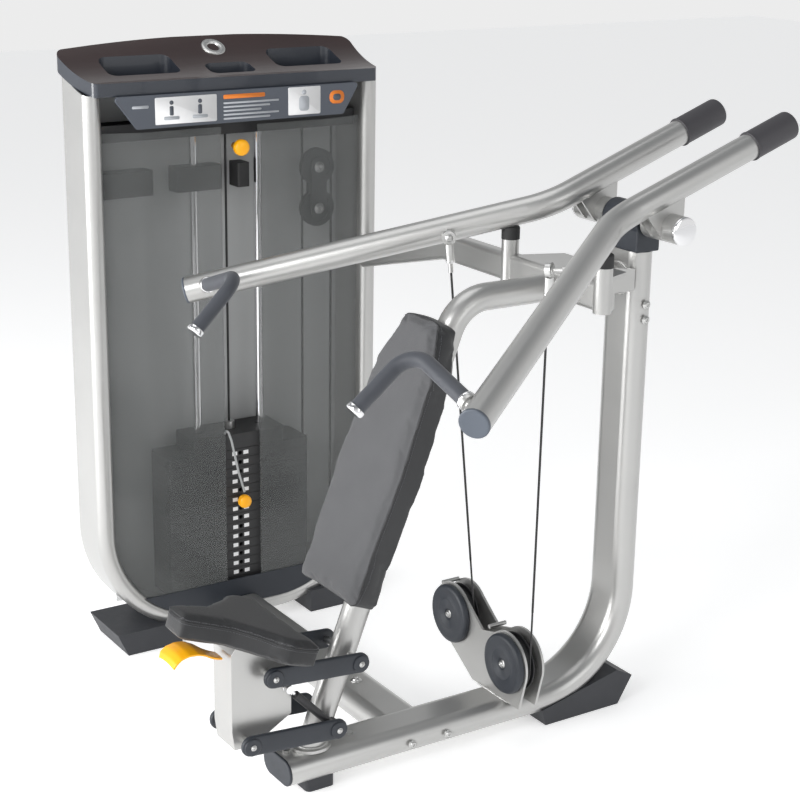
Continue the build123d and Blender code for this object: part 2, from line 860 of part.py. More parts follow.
with BuildPart() as head_plate:
    with BuildSketch(Plane.XY.offset(stack_top_z)):
        with Locations(((stack_front_x + stack_back_x) / 2, tower_mid_y)):
            RectangleRounded(stack_front_x - stack_back_x, 260, 10)
        with Locations(*rod_places):
            Circle(rod_radius + 1, mode=Mode.SUBTRACT)
        with Locations((rod_x, tower_mid_y)):
            Circle(selector_radius, mode=Mode.SUBTRACT)
    extrude(amount=head_thick)
save(head_plate, "head_plate")

with BuildPart() as selector_rod:
    with BuildSketch(Plane.XY.offset(stack_base_z)):
        with Locations((rod_x, tower_mid_y)):
            Circle(selector_radius)
    extrude(amount=stack_top_z + head_thick + 18 - stack_base_z)
    for level in range(plate_count):
        with BuildSketch(Plane.YZ.offset(rod_x - 20)):
            with Locations((tower_mid_y, stack_base_z + (level + 0.5) * plate_pitch)):
                Circle(pin_radius + 0.5)
        extrude(amount=40, mode=Mode.SUBTRACT)
save(selector_rod, "selector_rod")

# Selector pin with its round grip, and the lanyard that ties it to the head.
pin_grip_radius = 17
pin_grip_x = -806
with BuildPart() as selector_pin:
    with BuildSketch(Plane.YZ.offset(rod_x - 10)):
        with Locations((tower_mid_y, pin_z)):
            Circle(pin_radius)
    extrude(amount=pin_grip_x - rod_x + 10)
    with BuildSketch(Plane.YZ.offset(pin_grip_x)):
        with Locations((tower_mid_y, pin_z)):
            Circle(pin_grip_radius)
    extrude(amount=24)
    fillet(selector_pin.faces().sort_by(Axis.X)[-1].edges(), 6)
save(selector_pin, "selector_pin")

lanyard_points = (
    (-812, tower_mid_y - 45, 532),
    (-801, tower_mid_y - 45, 552),
    (-790, tower_mid_y - 38, 520),
    (-786, tower_mid_y - 20, 430),
    (-790, tower_mid_y - 2, 375),
)
save(tube(lanyard_points, 8, 3), "pin_lanyard")

# Add-on weights carried under the header, and their knob.
with BuildPart() as increment_weights:
    for near_y, far_y in ((-700, -560), (-500, -376), (-334, -300)):
        with BuildSketch(Plane.XY.offset(1150)):
            with Locations((rod_x, (near_y + far_y) / 2)):
                RectangleRounded(50, far_y - near_y, 6)
            with Locations(*rod_places):
                Circle(rod_radius + 1, mode=Mode.SUBTRACT)
        extrude(amount=60)
save(increment_weights, "increment_weights")

knob_z = 1259
with BuildPart() as increment_knob:
    with BuildSketch(Plane.YZ.offset(-828)):
        with Locations((tower_mid_y, knob_z)):
            Circle(8)
    extrude(amount=30)
    with BuildSketch(Plane.YZ.offset(-800)):
        with Locations((tower_mid_y, knob_z)):
            Circle(20)
    extrude(amount=22)
    fillet(increment_knob.faces().sort_by(Axis.X)[-1].edges(), 7)
save(increment_knob, "increment_knob")

# ---------------------------------------------------------------------------
# Tower pulleys, floating block and stack cable
# ---------------------------------------------------------------------------

for label, wheel_y, wheel_z in (
    ("stack_top_pulley", stack_pulley_y, top_pulley_z),
    ("block_top_pulley", block_pulley_y, top_pulley_z),
    ("block_upper_sheave", block_y, upper_sheave_z),
    ("block_lower_sheave", block_y, lower_sheave_z),
):
    centre = (rod_x, wheel_y, wheel_z)
    wheel = grooved_wheel(centre, (1, 0, 0), sheave_rim, sheave_width, sheave_radius, 3.8)
    save(wheel, label)

with BuildPart() as floating_block:
    for face_x in (rod_x - block_gap - block_plate, rod_x + block_gap):
        with BuildSketch(Plane.YZ.offset(face_x)):
            with Locations((block_y, (upper_sheave_z + lower_sheave_z) / 2)):
                RectangleRounded(44, upper_sheave_z - lower_sheave_z + 50, 18)
        extrude(amount=block_plate)
    with BuildSketch(Plane.YZ.offset(rod_x - block_gap - block_plate)):
        with Locations((block_y, upper_sheave_z), (block_y, lower_sheave_z)):
            Circle(axle_radius)
    extrude(amount=2 * (block_gap + block_plate))
save(floating_block, "floating_block")

# Stack cable: up from the head plate, over both top pulleys, down round the
# block's upper sheave and back up to its anchor in the header.
head_top_z = stack_top_z + head_thick + 18
anchor_y = block_y + sheave_radius
cable_top_z = top_pulley_z + sheave_radius
stack_cable_points = (
    (rod_x, tower_mid_y, head_top_z),
    (rod_x, tower_mid_y, cable_top_z),
    (rod_x, strand_left_y, cable_top_z),
    (rod_x, strand_left_y, upper_sheave_z - sheave_radius),
    (rod_x, anchor_y, upper_sheave_z - sheave_radius),
    (rod_x, anchor_y, header_z + 20),
)
save(tube(stack_cable_points, sheave_radius - 0.01, cable_radius), "stack_cable")

# ---------------------------------------------------------------------------
# Seat
# ---------------------------------------------------------------------------


def link_pair(rear_pivot, label):
    """Two obround links, one on each side, bored for both axles."""
    front_pivot = (rear_pivot[0] + link_reach[0], rear_pivot[1] + link_reach[1])
    length = hypot(*link_reach)
    middle = ((rear_pivot[0] + front_pivot[0]) / 2, (rear_pivot[1] + front_pivot[1]) / 2)
    tilt = degrees(atan2(link_reach[1], link_reach[0]))
    with BuildPart() as links:
        for start_x in (link_in_x, -link_out_x):
            with BuildSketch(Plane.YZ.offset(start_x)):
                with Locations(Location(middle, tilt)):
                    SlotCenterToCenter(length, link_height)
                with Locations(rear_pivot, front_pivot):
                    Circle(seat_axle_radius + running_gap, mode=Mode.SUBTRACT)
            extrude(amount=link_out_x - link_in_x)
    save(links, label)


link_pair(lower_pivot, "lower_links")
link_pair(upper_pivot, "upper_links")

lower_front = (lower_pivot[0] + link_reach[0], lower_pivot[1] + link_reach[1])
upper_front = (upper_pivot[0] + link_reach[0], upper_pivot[1] + link_reach[1])
axle_half = 82

with BuildPart() as seat_axles:
    with BuildSketch(Plane.YZ.offset(-axle_half)):
        with Locations(lower_pivot, upper_pivot):
            Circle(seat_axle_radius)
    extrude(amount=2 * axle_half)
save(seat_axles, "seat_axles")

with BuildPart() as carriage_axles:
    with BuildSketch(Plane.YZ.offset(-axle_half)):
        with Locations(lower_front, upper_front):
            Circle(seat_axle_radius)
    extrude(amount=2 * axle_half)
save(carriage_axles, "carriage_axles")

spring_eye = (-700, 262)
spring_x = 50
spring_slot = 9
carriage_outline = (
    (-830, 190),
    (-830, 366),
    (-820, 379),
    (-700, 342),
    (-689, 332),
    (-689, 200),
    (-778, 148),
    (-824, 148),
    (-830, 190),
)
with BuildPart() as seat_carriage:
    with BuildSketch(Plane.YZ.offset(-carriage_half)):
        with BuildLine():
            Polyline(*carriage_outline)
        make_face()
    extrude(amount=2 * carriage_half)
    with BuildSketch(Plane.YZ.offset(-carriage_half + carriage_wall)):
        with BuildLine():
            Polyline(*carriage_outline)
        make_face()
        offset(amount=-carriage_wall)
        with Locations((-689, 250)):
            Rectangle(20, 92)
    extrude(amount=2 * (carriage_half - carriage_wall), mode=Mode.SUBTRACT)
    with BuildSketch(Plane.YZ.offset(-carriage_half)):
        with Locations(lower_front, upper_front):
            Circle(seat_axle_radius)
    extrude(amount=2 * carriage_half, mode=Mode.SUBTRACT)
    with BuildSketch(Plane.YZ.offset(carriage_half - carriage_wall - 1)):
        with Locations(spring_eye):
            Circle(spring_slot)
    extrude(amount=carriage_wall + 2, mode=Mode.SUBTRACT)
save(seat_carriage, "seat_carriage")

# Gas spring between the lower rear axle and the carriage wall.
spring_base = lower_pivot
spring_reach = Vector(0, spring_eye[0] - spring_base[0], spring_eye[1] - spring_base[1])
spring_line = spring_reach.normalized()
spring_foot = Vector(spring_x, spring_base[0], spring_base[1])
spring_head = spring_foot + spring_reach
with BuildPart() as gas_spring_cylinder:
    with BuildSketch(Plane.YZ.offset(spring_x - 8)):
        with Locations(spring_base):
            Circle(15)
    extrude(amount=16)
    with BuildSketch(Plane(origin=spring_foot + spring_line * 12, z_dir=spring_line)):
        Circle(9)
    extrude(amount=spring_reach.length - 34)
    with BuildSketch(Plane.YZ.offset(spring_x - 8)):
        with Locations(spring_base):
            Circle(seat_axle_radius + running_gap)
    extrude(amount=16, mode=Mode.SUBTRACT)
    with BuildSketch(Plane(origin=spring_foot + spring_line * 20, z_dir=spring_line)):
        Circle(4.05)
    extrude(amount=spring_reach.length, mode=Mode.SUBTRACT)
save(gas_spring_cylinder, "gas_spring_cylinder")

with BuildPart() as gas_spring_rod:
    with BuildSketch(Plane(origin=spring_foot + spring_line * 22, z_dir=spring_line)):
        Circle(4)
    extrude(amount=spring_reach.length - 26)
    with BuildSketch(Plane.YZ.offset(spring_x - 6)):
        with Locations(spring_eye):
            Circle(9)
    extrude(amount=12)
    with BuildSketch(Plane.YZ.offset(carriage_half - 8)):
        with Locations(spring_eye):
            Circle(4.5)
    extrude(amount=spring_x - carriage_half + 8)
save(gas_spring_rod, "gas_spring_rod")

# Sprung release paddle under the seat nose, on a pin in front of the carriage.
lever_half = 30
lever_pivot = (-842, 352)
with BuildPart() as release_lever:
    with BuildSketch(Plane.YZ.offset(-lever_half)):
        with BuildLine():
            Polyline(
                (-956, 392),
                (-948, 400),
                (-901, 402),
                (-858, 372),
                (-834, 360),
                (-836, 350),
                (-868, 352),
                (-904, 386),
                (-944, 386),
                (-956, 392),
            )
        make_face()
    extrude(amount=2 * lever_half)
save(release_lever, "release_lever")

# Saddle-shaped seat pad, tilted down to the rear.
seat_tilt = radians(seat_drop)
seat_top = Plane(
    origin=(0, seat_front[0], seat_front[1]),
    x_dir=(1, 0, 0),
    z_dir=(0, sin(seat_tilt), cos(seat_tilt)),
)
with BuildPart() as seat_pad:
    with BuildSketch(seat_top):
        with BuildLine():
            Polyline((-42, 0), (42, 0), (72, 110), (160, 215), (160, 290))
            Polyline((160, 290), (-160, 290), (-160, 215), (-72, 110), (-42, 0))
        make_face()
        fillet(vertices(), 20)
    extrude(amount=-seat_thick)
save(seat_pad, "seat_pad")

# Back pad on its board.
lean = radians(back_lean)
back_face = Plane(
    origin=(0, back_bottom[0], back_bottom[1]),
    x_dir=(1, 0, 0),
    z_dir=(0, -cos(lean), sin(lean)),
)
with BuildPart() as back_pad:
    with BuildSketch(back_face):
        with BuildLine():
            Polyline((-122, 0), (122, 0), (134, 300), (118, 520), (66, 640))
            Polyline((66, 640), (-66, 640), (-118, 520), (-134, 300), (-122, 0))
        make_face()
        fillet(vertices(), 26)
    extrude(amount=-back_thick)
save(back_pad, "back_pad")

with BuildPart() as back_pad_board:
    with BuildSketch(back_face.offset(-back_thick)):
        with BuildLine():
            Polyline((-100, 30), (100, 30), (112, 300), (98, 500), (52, 600))
            Polyline((52, 600), (-52, 600), (-98, 500), (-112, 300), (-100, 30))
        make_face()
        fillet(vertices(), 22)
    extrude(amount=-board_thick)
    add(tube(support_points, support_bend, support_radius).part, mode=Mode.SUBTRACT)
save(back_pad_board, "back_pad_board")

# ---------------------------------------------------------------------------
# Visible bolts of the frame
# ---------------------------------------------------------------------------

with BuildPart() as frame_bolts:
    with BuildSketch(Plane.YZ.offset(rail_width / 2)):
        with Locations((-395, rail_centre_z), (-300, rail_centre_z)):
            RegularPolygon(8, 6)
        with Locations((upright_y, 985), (upright_y, 950)):
            RegularPolygon(8, 6)
    extrude(amount=6)
    with BuildSketch(Plane.XY.offset(rail_top_z)):
        with Locations((0, -680), (0, -520)):
            RegularPolygon(8, 6)
    extrude(amount=6)
save(frame_bolts, "frame_bolts")
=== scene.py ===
import json
from math import atan2, cos, pi, radians, sin, tan

import bmesh
import bpy
import numpy as np
from mathutils import Matrix, Vector
from mathutils.bvhtree import BVHTree

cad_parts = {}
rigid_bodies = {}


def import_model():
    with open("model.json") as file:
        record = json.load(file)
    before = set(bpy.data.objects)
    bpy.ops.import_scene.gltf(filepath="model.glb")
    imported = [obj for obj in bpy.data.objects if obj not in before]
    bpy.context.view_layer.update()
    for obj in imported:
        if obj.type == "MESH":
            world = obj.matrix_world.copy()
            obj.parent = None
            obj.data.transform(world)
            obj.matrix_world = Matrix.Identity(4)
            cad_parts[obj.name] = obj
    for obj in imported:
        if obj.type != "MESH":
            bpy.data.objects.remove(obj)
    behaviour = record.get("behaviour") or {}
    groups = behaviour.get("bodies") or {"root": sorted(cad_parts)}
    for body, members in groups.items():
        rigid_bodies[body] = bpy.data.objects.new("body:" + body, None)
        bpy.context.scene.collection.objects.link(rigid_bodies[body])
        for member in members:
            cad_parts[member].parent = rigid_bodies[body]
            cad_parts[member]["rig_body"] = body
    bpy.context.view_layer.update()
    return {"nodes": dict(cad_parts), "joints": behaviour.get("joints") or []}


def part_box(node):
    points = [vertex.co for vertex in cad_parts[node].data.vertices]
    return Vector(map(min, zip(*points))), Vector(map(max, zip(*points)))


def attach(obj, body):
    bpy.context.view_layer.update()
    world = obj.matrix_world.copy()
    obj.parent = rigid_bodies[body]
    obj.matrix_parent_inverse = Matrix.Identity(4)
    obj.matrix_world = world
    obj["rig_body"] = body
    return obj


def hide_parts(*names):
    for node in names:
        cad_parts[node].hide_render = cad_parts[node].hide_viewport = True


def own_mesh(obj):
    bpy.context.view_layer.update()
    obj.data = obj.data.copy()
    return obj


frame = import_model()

nodes = frame["nodes"]
joints = {joint["name"]: joint for joint in frame["joints"]}

# Studio: a pale floor, a white surround that darkens overhead, four soft
# lamps and a camera that stands off the machine's front left corner.
camera_azimuth = radians(56.96)
camera_elevation = radians(17.15)
camera_roll = radians(0.892)
camera_place = Vector((3.0191, -2.3639, 1.95015))
camera_lens = 80.115

back = Vector((
    sin(camera_azimuth) * cos(camera_elevation),
    -cos(camera_azimuth) * cos(camera_elevation),
    sin(camera_elevation),
))
level = Vector((cos(camera_azimuth), sin(camera_azimuth), 0))
upward = back.cross(level)
right = level * cos(camera_roll) + upward * sin(camera_roll)
up = upward * cos(camera_roll) - level * sin(camera_roll)
camera_data = bpy.data.cameras.new("camera")
camera_data.lens = camera_lens
camera_data.clip_end = 60
camera = bpy.data.objects.new("camera", camera_data)
bpy.context.scene.collection.objects.link(camera)
camera.rotation_mode = "QUATERNION"
turn = np.array((right, up, back)).T
camera.matrix_world = Matrix([[*turn[row], camera_place[row]] for row in range(3)] + [[0, 0, 0, 1]])
bpy.context.scene.camera = camera
bpy.context.scene.view_settings.view_transform = "Standard"


def soft_lamp(name, place, target, size, power):
    """A square area lamp that faces a point on the machine."""
    data = bpy.data.lights.new(name, "AREA")
    data.shape = "RECTANGLE"
    data.size, data.size_y = size
    data.energy = power
    lamp = bpy.data.objects.new(name, data)
    bpy.context.scene.collection.objects.link(lamp)
    lamp.location = place
    lamp.rotation_mode = "QUATERNION"
    lamp.rotation_quaternion = (Vector(target) - Vector(place)).to_track_quat("-Z", "Y")


soft_lamp("key_lamp", (1.2, -4.2, 2.6), (-0.3, -0.3, 0.8), (2.4, 2.4), 95)
soft_lamp("side_lamp", (4.2, 0.8, 2.2), (0, 0, 0.7), (2.0, 2.6), 22)
soft_lamp("end_lamp", (-1.6, -4.6, 1.3), (-0.8, -0.8, 0.8), (1.8, 2.2), 130)
soft_lamp("top_lamp", (-0.6, -0.6, 4.2), (-0.3, -0.3, 0.6), (2.6, 2.6), 26)

floor_mesh = bpy.data.meshes.new("studio_floor")
floor_reach = 14.0
floor_level = -0.0008
floor_mesh.from_pydata(
    [(x * floor_reach, y * floor_reach, floor_level)
     for x, y in ((-1, -1), (1, -1), (1, 1), (-1, 1))],
    [], [(0, 1, 2, 3)],
)
studio_floor = bpy.data.objects.new("studio_floor", floor_mesh)
bpy.context.scene.collection.objects.link(studio_floor)


class Value:
    """A number inside a material. Arithmetic on it adds Math nodes."""

    def __init__(self, tree, socket):
        self.tree = tree
        self.socket = socket

    def maths(self, operation, *others):
        node = self.tree.nodes.new("ShaderNodeMath")
        node.operation = operation
        for slot, value in zip(node.inputs, (self, *others)):
            plug(self.tree, slot, value)
        return Value(self.tree, node.outputs[0])

    def __add__(self, other):
        return self.maths("ADD", other)

    def __sub__(self, other):
        return self.maths("SUBTRACT", other)

    def __mul__(self, other):
        return self.maths("MULTIPLY", other)

    def __rsub__(self, other):
        return self.maths("MULTIPLY", -1).maths("ADD", other)

    __radd__ = __add__
    __rmul__ = __mul__

    def above(self, edge):
        return self.maths("GREATER_THAN", edge)

    def clamped(self):
        return self.maths("MAXIMUM", 0).maths("MINIMUM", 1)

    def wave(self):
        return self.maths("SINE")


def plug(tree, slot, value):
    """Links a Value to a socket, or sets the socket to a plain number."""
    if isinstance(value, Value):
        tree.links.new(value.socket, slot)
    elif hasattr(slot.default_value, "__len__") and len(slot.default_value) == 4:
        slot.default_value = (*value[:3], 1)
    else:
        slot.default_value = value


class Finish:
    """A surface finish: one material, its node tree and its shader."""

    def __init__(self, name, colour, **settings):
        self.material = bpy.data.materials.new(name)
        self.material.use_nodes = True
        self.tree = self.material.node_tree
        self.shader = self.tree.nodes["Principled BSDF"]
        self.set("Base Color", colour)
        for setting, value in settings.items():
            self.set(setting.replace("_", " ").title(), value)

    def set(self, name, value):
        names = {"Ior": "IOR"}
        plug(self.tree, self.shader.inputs[names.get(name, name)], value)

    def node(self, kind, settings=(), inputs=(), output=0):
        """Adds any node: its settings first, then what feeds its sockets."""
        made = self.tree.nodes.new(kind)
        for name, value in dict(settings).items():
            setattr(made, name, value)
        for name, value in dict(inputs).items():
            plug(self.tree, made.inputs[name], value)
        return Value(self.tree, made.outputs[output])

    def place(self):
        return self.node("ShaderNodeTexCoord", output="Object")

    def noise(self, scale, detail=2.0):
        return self.node("ShaderNodeTexNoise", {}, {
            "Vector": self.place(), "Scale": scale, "Detail": detail})

    def cells(self, scale):
        return self.node("ShaderNodeTexVoronoi", {}, {"Vector": self.place(), "Scale": scale})

    def blend(self, share, first, second):
        """Colour from first to second as share goes from 0 to 1."""
        return self.node(
            "ShaderNodeMix", {"data_type": "RGBA"}, {0: share, 6: first, 7: second}, 2
        )

    def relief(self, height, depth, strength=1.0):
        bump = self.node(
            "ShaderNodeBump", {}, {"Height": height, "Distance": depth, "Strength": strength}
        )
        self.tree.links.new(bump.socket, self.shader.inputs["Normal"])


stage_finish = Finish("studio_white", (0.93, 0.93, 0.93), roughness=0.9)
stage_finish.set("Roughness", 0.85 + stage_finish.noise(3.0) * 0.1)
stage_finish.set("Emission Color", (1, 1, 1))
stage_finish.set("Emission Strength", 0.42)
floor_mesh.materials.append(stage_finish.material)

world = bpy.data.worlds.new("studio_surround")
bpy.context.scene.world = world
world.use_nodes = True
sky = world.node_tree
heading = sky.nodes.new("ShaderNodeTexCoord")
split = sky.nodes.new("ShaderNodeSeparateXYZ")
ramp = sky.nodes.new("ShaderNodeValToRGB")
sky.links.new(heading.outputs["Generated"], split.inputs[0])
sky.links.new(split.outputs["Z"], ramp.inputs[0])
ramp.color_ramp.elements[0].position = 0.12
ramp.color_ramp.elements[0].color = (1, 1, 1, 1)
ramp.color_ramp.elements[1].position = 0.80
ramp.color_ramp.elements[1].color = (0.30, 0.31, 0.32, 1)
sky.links.new(ramp.outputs[0], sky.nodes["Background"].inputs["Color"])
sky.nodes["Background"].inputs["Strength"].default_value = 0.84

# Frame tubes, press arms and tower loop: bent steel tube, powder coated in a
# warm silver with fine metal flake and a clear top coat.
silver = Finish("silver_paint", (0.52, 0.52, 0.51), metallic=0.82, roughness=0.30, coat_weight=0.2)
silver_cloud = silver.noise(5.0, 3.0)
silver_flake = silver.cells(900.0)
silver.set("Base Color", silver.blend(silver_cloud, (0.47, 0.468, 0.458), (0.55, 0.548, 0.538)))
silver.set("Roughness", 0.25 + silver_flake * 0.12 + silver_cloud * 0.05)
silver.relief(silver.noise(420.0, 1.0), 0.00012, 0.35)


def coat(node, finish):
    """Puts a finish on a CAD node in place of its plain material."""
    nodes[node].data.materials.clear()
    nodes[node].data.materials.append(finish.material)


for tube in ("main_frame", "base_cross_tube", "back_support_tube", "crossbeam", "tower_frame",
             "left_arm", "right_arm", "pulley_bracket"):
    coat(tube, silver)


def piece(name, points, faces, finish, body, smooth=True):
    """A new mesh object that rides on a body and wears one finish."""
    mesh = bpy.data.meshes.new(name)
    mesh.from_pydata(np.asarray(points, float).reshape(-1, 3).tolist(), [], faces)
    mesh.materials.append(finish.material)
    mesh.polygons.foreach_set("use_smooth", np.full(len(mesh.polygons), smooth))
    mesh.update()
    made = bpy.data.objects.new(name, mesh)
    bpy.context.scene.collection.objects.link(made)
    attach(made, body)
    return made


def grid_faces(rows, columns, round_rows=False, round_columns=True, offset=0):
    """Quads between neighbouring points of a grid, closed where it is round."""
    row, column = np.meshgrid(
        np.arange(rows if round_rows else rows - 1),
        np.arange(columns if round_columns else columns - 1),
        indexing="ij",
    )
    row, column = row.ravel(), column.ravel()
    next_row, next_column = (row + 1) % rows, (column + 1) % columns
    corners = (
        row * columns + column,
        row * columns + next_column,
        next_row * columns + next_column,
        next_row * columns + column,
    )
    return (np.stack(corners, 1) + offset).tolist()


def skin(name, rings, finish, body, round_rows=False, capped=True):
    """Closes a stack of rings, each with as many points, into one surface."""
    rings = np.asarray(rings, float)
    count, around = rings.shape[:2]
    faces = grid_faces(count, around, round_rows)
    if capped and not round_rows:
        faces.append(list(range(around))[::-1])
        faces.append(list(range((count - 1) * around, count * around)))
    made = piece(name, rings, faces, finish, body)
    outward(made)
    return made


def outward(made):
    """Turns every face of a closed mesh outwards."""
    work = bmesh.new()
    work.from_mesh(made.data)
    bmesh.ops.recalc_face_normals(work, faces=work.faces)
    work.to_mesh(made.data)
    work.free()


def frames_along(route, closed=False):
    """Unit directions of a path and two square directions carried along it."""
    route = np.asarray(route, float)
    if closed:
        ahead = np.roll(route, -1, 0) - np.roll(route, 1, 0)
    else:
        ahead = np.gradient(route, axis=0)
    ahead /= np.linalg.norm(ahead, axis=1)[:, None]
    steep = abs(ahead[0, 2]) >= 0.9
    guide = np.array((1.0, 0.0, 0.0)) if steep else np.array((0.0, 0.0, 1.0))
    if closed:
        guide = np.cross(route[1] - route[0], route[len(route) // 3] - route[0])
    side = np.cross(ahead, guide)
    side /= np.linalg.norm(side, axis=1)[:, None]
    return ahead, side, np.cross(ahead, side)


def pipe(name, route, radius, finish, body, around=20, closed=False):
    """A round rod along a path: radius times the circle in its side plane."""
    route = np.asarray(route, float)
    ahead, side, lift = frames_along(route, closed)
    radius = np.broadcast_to(np.asarray(radius, float), (len(route),))[:, None, None]
    angle = np.linspace(0, 2 * pi, around, endpoint=False)[None, :, None]
    circle = np.cos(angle) * side[:, None] + np.sin(angle) * lift[:, None]
    rings = route[:, None] + radius * circle
    return skin(name, rings, finish, body, closed)


def turned(name, centre, axis, profile, finish, body, around=64):
    """A lathe-turned part: profile pairs of (distance along axis, radius)."""
    axis = np.array(Vector(axis).normalized())
    side = np.array(Vector(axis).orthogonal().normalized())
    lift = np.cross(axis, side)
    profile = np.asarray(profile, float)
    angle = np.linspace(0, 2 * pi, around, endpoint=False)[None, :, None]
    spoke = np.cos(angle) * side + np.sin(angle) * lift
    along, out = profile[:, 0, None, None], profile[:, 1, None, None]
    rings = np.asarray(centre) + along * axis + out * spoke
    return skin(name, rings, finish, body)


def weld_bead(name, route, radius, body, closed=True):
    """A weld bead: a thin rod whose radius ripples every few millimetres."""
    route = np.asarray(route, float)
    step = np.linalg.norm(np.diff(route, axis=0), axis=1)
    run = np.concatenate(((0,), np.cumsum(step)))
    pitch, swell = 0.0042, 0.12
    ripple = radius * (1 + swell * np.sin(run / pitch * 2 * pi))
    return pipe(name, route, ripple, silver, body, 10, closed)


rail_top = 0.086
upright_face = 0.182
support_level = 1.038
ring_count = 220
ring_angle = np.linspace(0, 2 * pi, ring_count, endpoint=False)
ring_radius = 0.0365
weld_bead("support_ring_weld", np.stack((
    ring_radius * np.cos(ring_angle),
    np.full(ring_count, upright_face - 0.0005),
    support_level + ring_radius * np.sin(ring_angle),
), 1), 0.0028, "frame")
foot_centre, foot_across, foot_along = -0.6165, 0.0315, 0.0335
weld_bead("support_foot_weld", np.stack((
    foot_across * np.cos(ring_angle),
    foot_centre + foot_along * np.sin(ring_angle),
    np.full(ring_count, rail_top + 0.0075),
), 1), 0.0026, "frame")
along = np.linspace(-0.058, 0.058, 160)
for name, plate_y in (("front", -0.1315), ("rear", -0.0905)):
    weld_bead(f"bracket_{name}_weld", np.stack((
        along, np.full(len(along), plate_y), np.full(len(along), rail_top + 0.0008)
    ), 1), 0.0024, "frame", False)

# Moulded parts: rail plug, floor feet, pivot housing and covers, injection
# moulded in dark slate plastic with a fine grain and rounded edges.
slate = Finish("slate_plastic", (0.045, 0.052, 0.066), roughness=0.42)
slate_cloud = slate.noise(14.0, 3.0)
slate.set("Base Color", slate.blend(slate_cloud, (0.018, 0.022, 0.029), (0.028, 0.033, 0.043)))
slate.set("Roughness", 0.40 + slate.noise(60.0, 2.0) * 0.12)
slate.relief(slate.noise(1500.0, 2.0), 0.00012, 0.5)

foot_black = Finish("foot_plastic", (0.028, 0.030, 0.035), roughness=0.55)
foot_black.set("Roughness", 0.48 + foot_black.noise(40.0, 3.0) * 0.16)
foot_black.set("Base Color", foot_black.blend(
    foot_black.noise(9.0, 2.0), (0.022, 0.024, 0.029), (0.036, 0.038, 0.044)))
foot_black.relief(foot_black.noise(1100.0, 2.0), 0.00015, 0.6)


def softened(node, finish, width=0.002, name=None):
    """A merged copy of a CAD node with small rounded edges, in its place."""
    mesh = nodes[node].data.copy()
    work = bmesh.new()
    work.from_mesh(mesh)
    bmesh.ops.remove_doubles(work, verts=work.verts, dist=1e-6)
    flat = radians(1.0)
    bmesh.ops.dissolve_limit(work, angle_limit=flat, verts=work.verts, edges=work.edges)
    work.to_mesh(mesh)
    work.free()
    mesh.materials.clear()
    mesh.materials.append(finish.material)
    mesh.polygons.foreach_set("use_smooth", np.full(len(mesh.polygons), True))
    made = bpy.data.objects.new(name or f"{node}_soft", mesh)
    bpy.context.scene.collection.objects.link(made)
    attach(made, nodes[node]["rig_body"])
    bevel = made.modifiers.new("edges", "BEVEL")
    bevel.width = width
    bevel.segments = 3
    bevel.limit_method = "ANGLE"
    bevel.angle_limit = radians(32)
    bevel.harden_normals = True
    even = made.modifiers.new("even_shading", "WEIGHTED_NORMAL")
    even.weight = 100
    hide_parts(node)
    return made


softened("rail_end_cap", slate, 0.0015)
softened("floor_feet", foot_black, 0.010)
softened("pivot_housing", slate, 0.004)

# Zinc-plated hardware: bolts with washers along the rail, on the upright and
# on the cross tube, shafts, axles and rod ends, and the chromed rods.
zinc = Finish("zinc_steel", (0.62, 0.62, 0.61), metallic=1.0, roughness=0.30)
zinc.set("Roughness", 0.24 + zinc.noise(90.0, 3.0) * 0.18)
zinc.set("Base Color", zinc.blend(zinc.noise(30.0, 2.0), (0.55, 0.55, 0.54), (0.70, 0.70, 0.69)))
chrome = Finish("chrome_plate", (0.86, 0.86, 0.87), metallic=1.0, roughness=0.09)
chrome.set("Roughness", 0.07 + chrome.noise(50.0, 3.0) * 0.06)
for part in ("frame_bolts", "pivot_shaft", "seat_axles", "carriage_axles", "left_rod_end",
             "right_rod_end", "selector_rod"):
    coat(part, zinc)
for part in ("guide_rods", "gas_spring_rod"):
    coat(part, chrome)


def bolt(name, place, axis, radius, body, finish=None, height=0.6):
    """A button-head bolt on a washer, with a hex socket sunk in its crown."""
    finish = finish or zinc
    crown = height * radius
    profile = (
        (0.0, radius * 1.45), (0.08 * radius, radius * 1.5), (0.2 * radius, radius * 1.45),
        (0.2 * radius, radius), (0.45 * radius, radius), (crown + 0.1 * radius, radius * 0.8),
        (crown + 0.2 * radius, radius * 0.5), (crown, radius * 0.46),
        (0.3 * radius, radius * 0.42),
    )
    return turned(name, place, axis, profile, finish, body, 24)


washer_face = 0.060 + 0.006
for number, bolt_y in enumerate((-0.395, -0.300)):
    bolt(f"rail_bolt_{number}", (washer_face, bolt_y, 0.056), (1, 0, 0), 0.007, "frame")
for number, bolt_z in enumerate((0.985, 0.950)):
    bolt(f"upright_bolt_{number}", (washer_face, 0.212, bolt_z), (1, 0, 0), 0.007, "frame")
bolt("cross_tube_bolt", (-0.22, -0.368, 0.085), (0, 0, 1), 0.009, "frame")

# Rubber: the stop bumpers, the stack cushions and the long sleeves on the
# rear ends of the arms. The hand grips are a softer blue-grey rubber.
rubber = Finish("black_rubber", (0.02, 0.02, 0.021), roughness=0.62)
rubber.set("Roughness", 0.55 + rubber.noise(30.0, 3.0) * 0.2)
rubber.relief(rubber.noise(700.0, 2.0), 0.0002, 0.4)
charcoal = Finish("sleeve_rubber", (0.052, 0.050, 0.056), roughness=0.5)
charcoal.set("Roughness", 0.46 + charcoal.noise(60.0, 3.0) * 0.16)
charcoal.relief(charcoal.noise(1300.0, 2.0), 0.00015, 0.6)
grip_rubber = Finish("grip_rubber", (0.085, 0.092, 0.118), roughness=0.5, sheen_weight=0.15)
grip_rubber.set("Roughness", 0.46 + grip_rubber.noise(50.0, 3.0) * 0.16)
grip_rubber.set("Base Color", grip_rubber.blend(
    grip_rubber.noise(22.0, 3.0), (0.036, 0.040, 0.050), (0.054, 0.059, 0.072)))
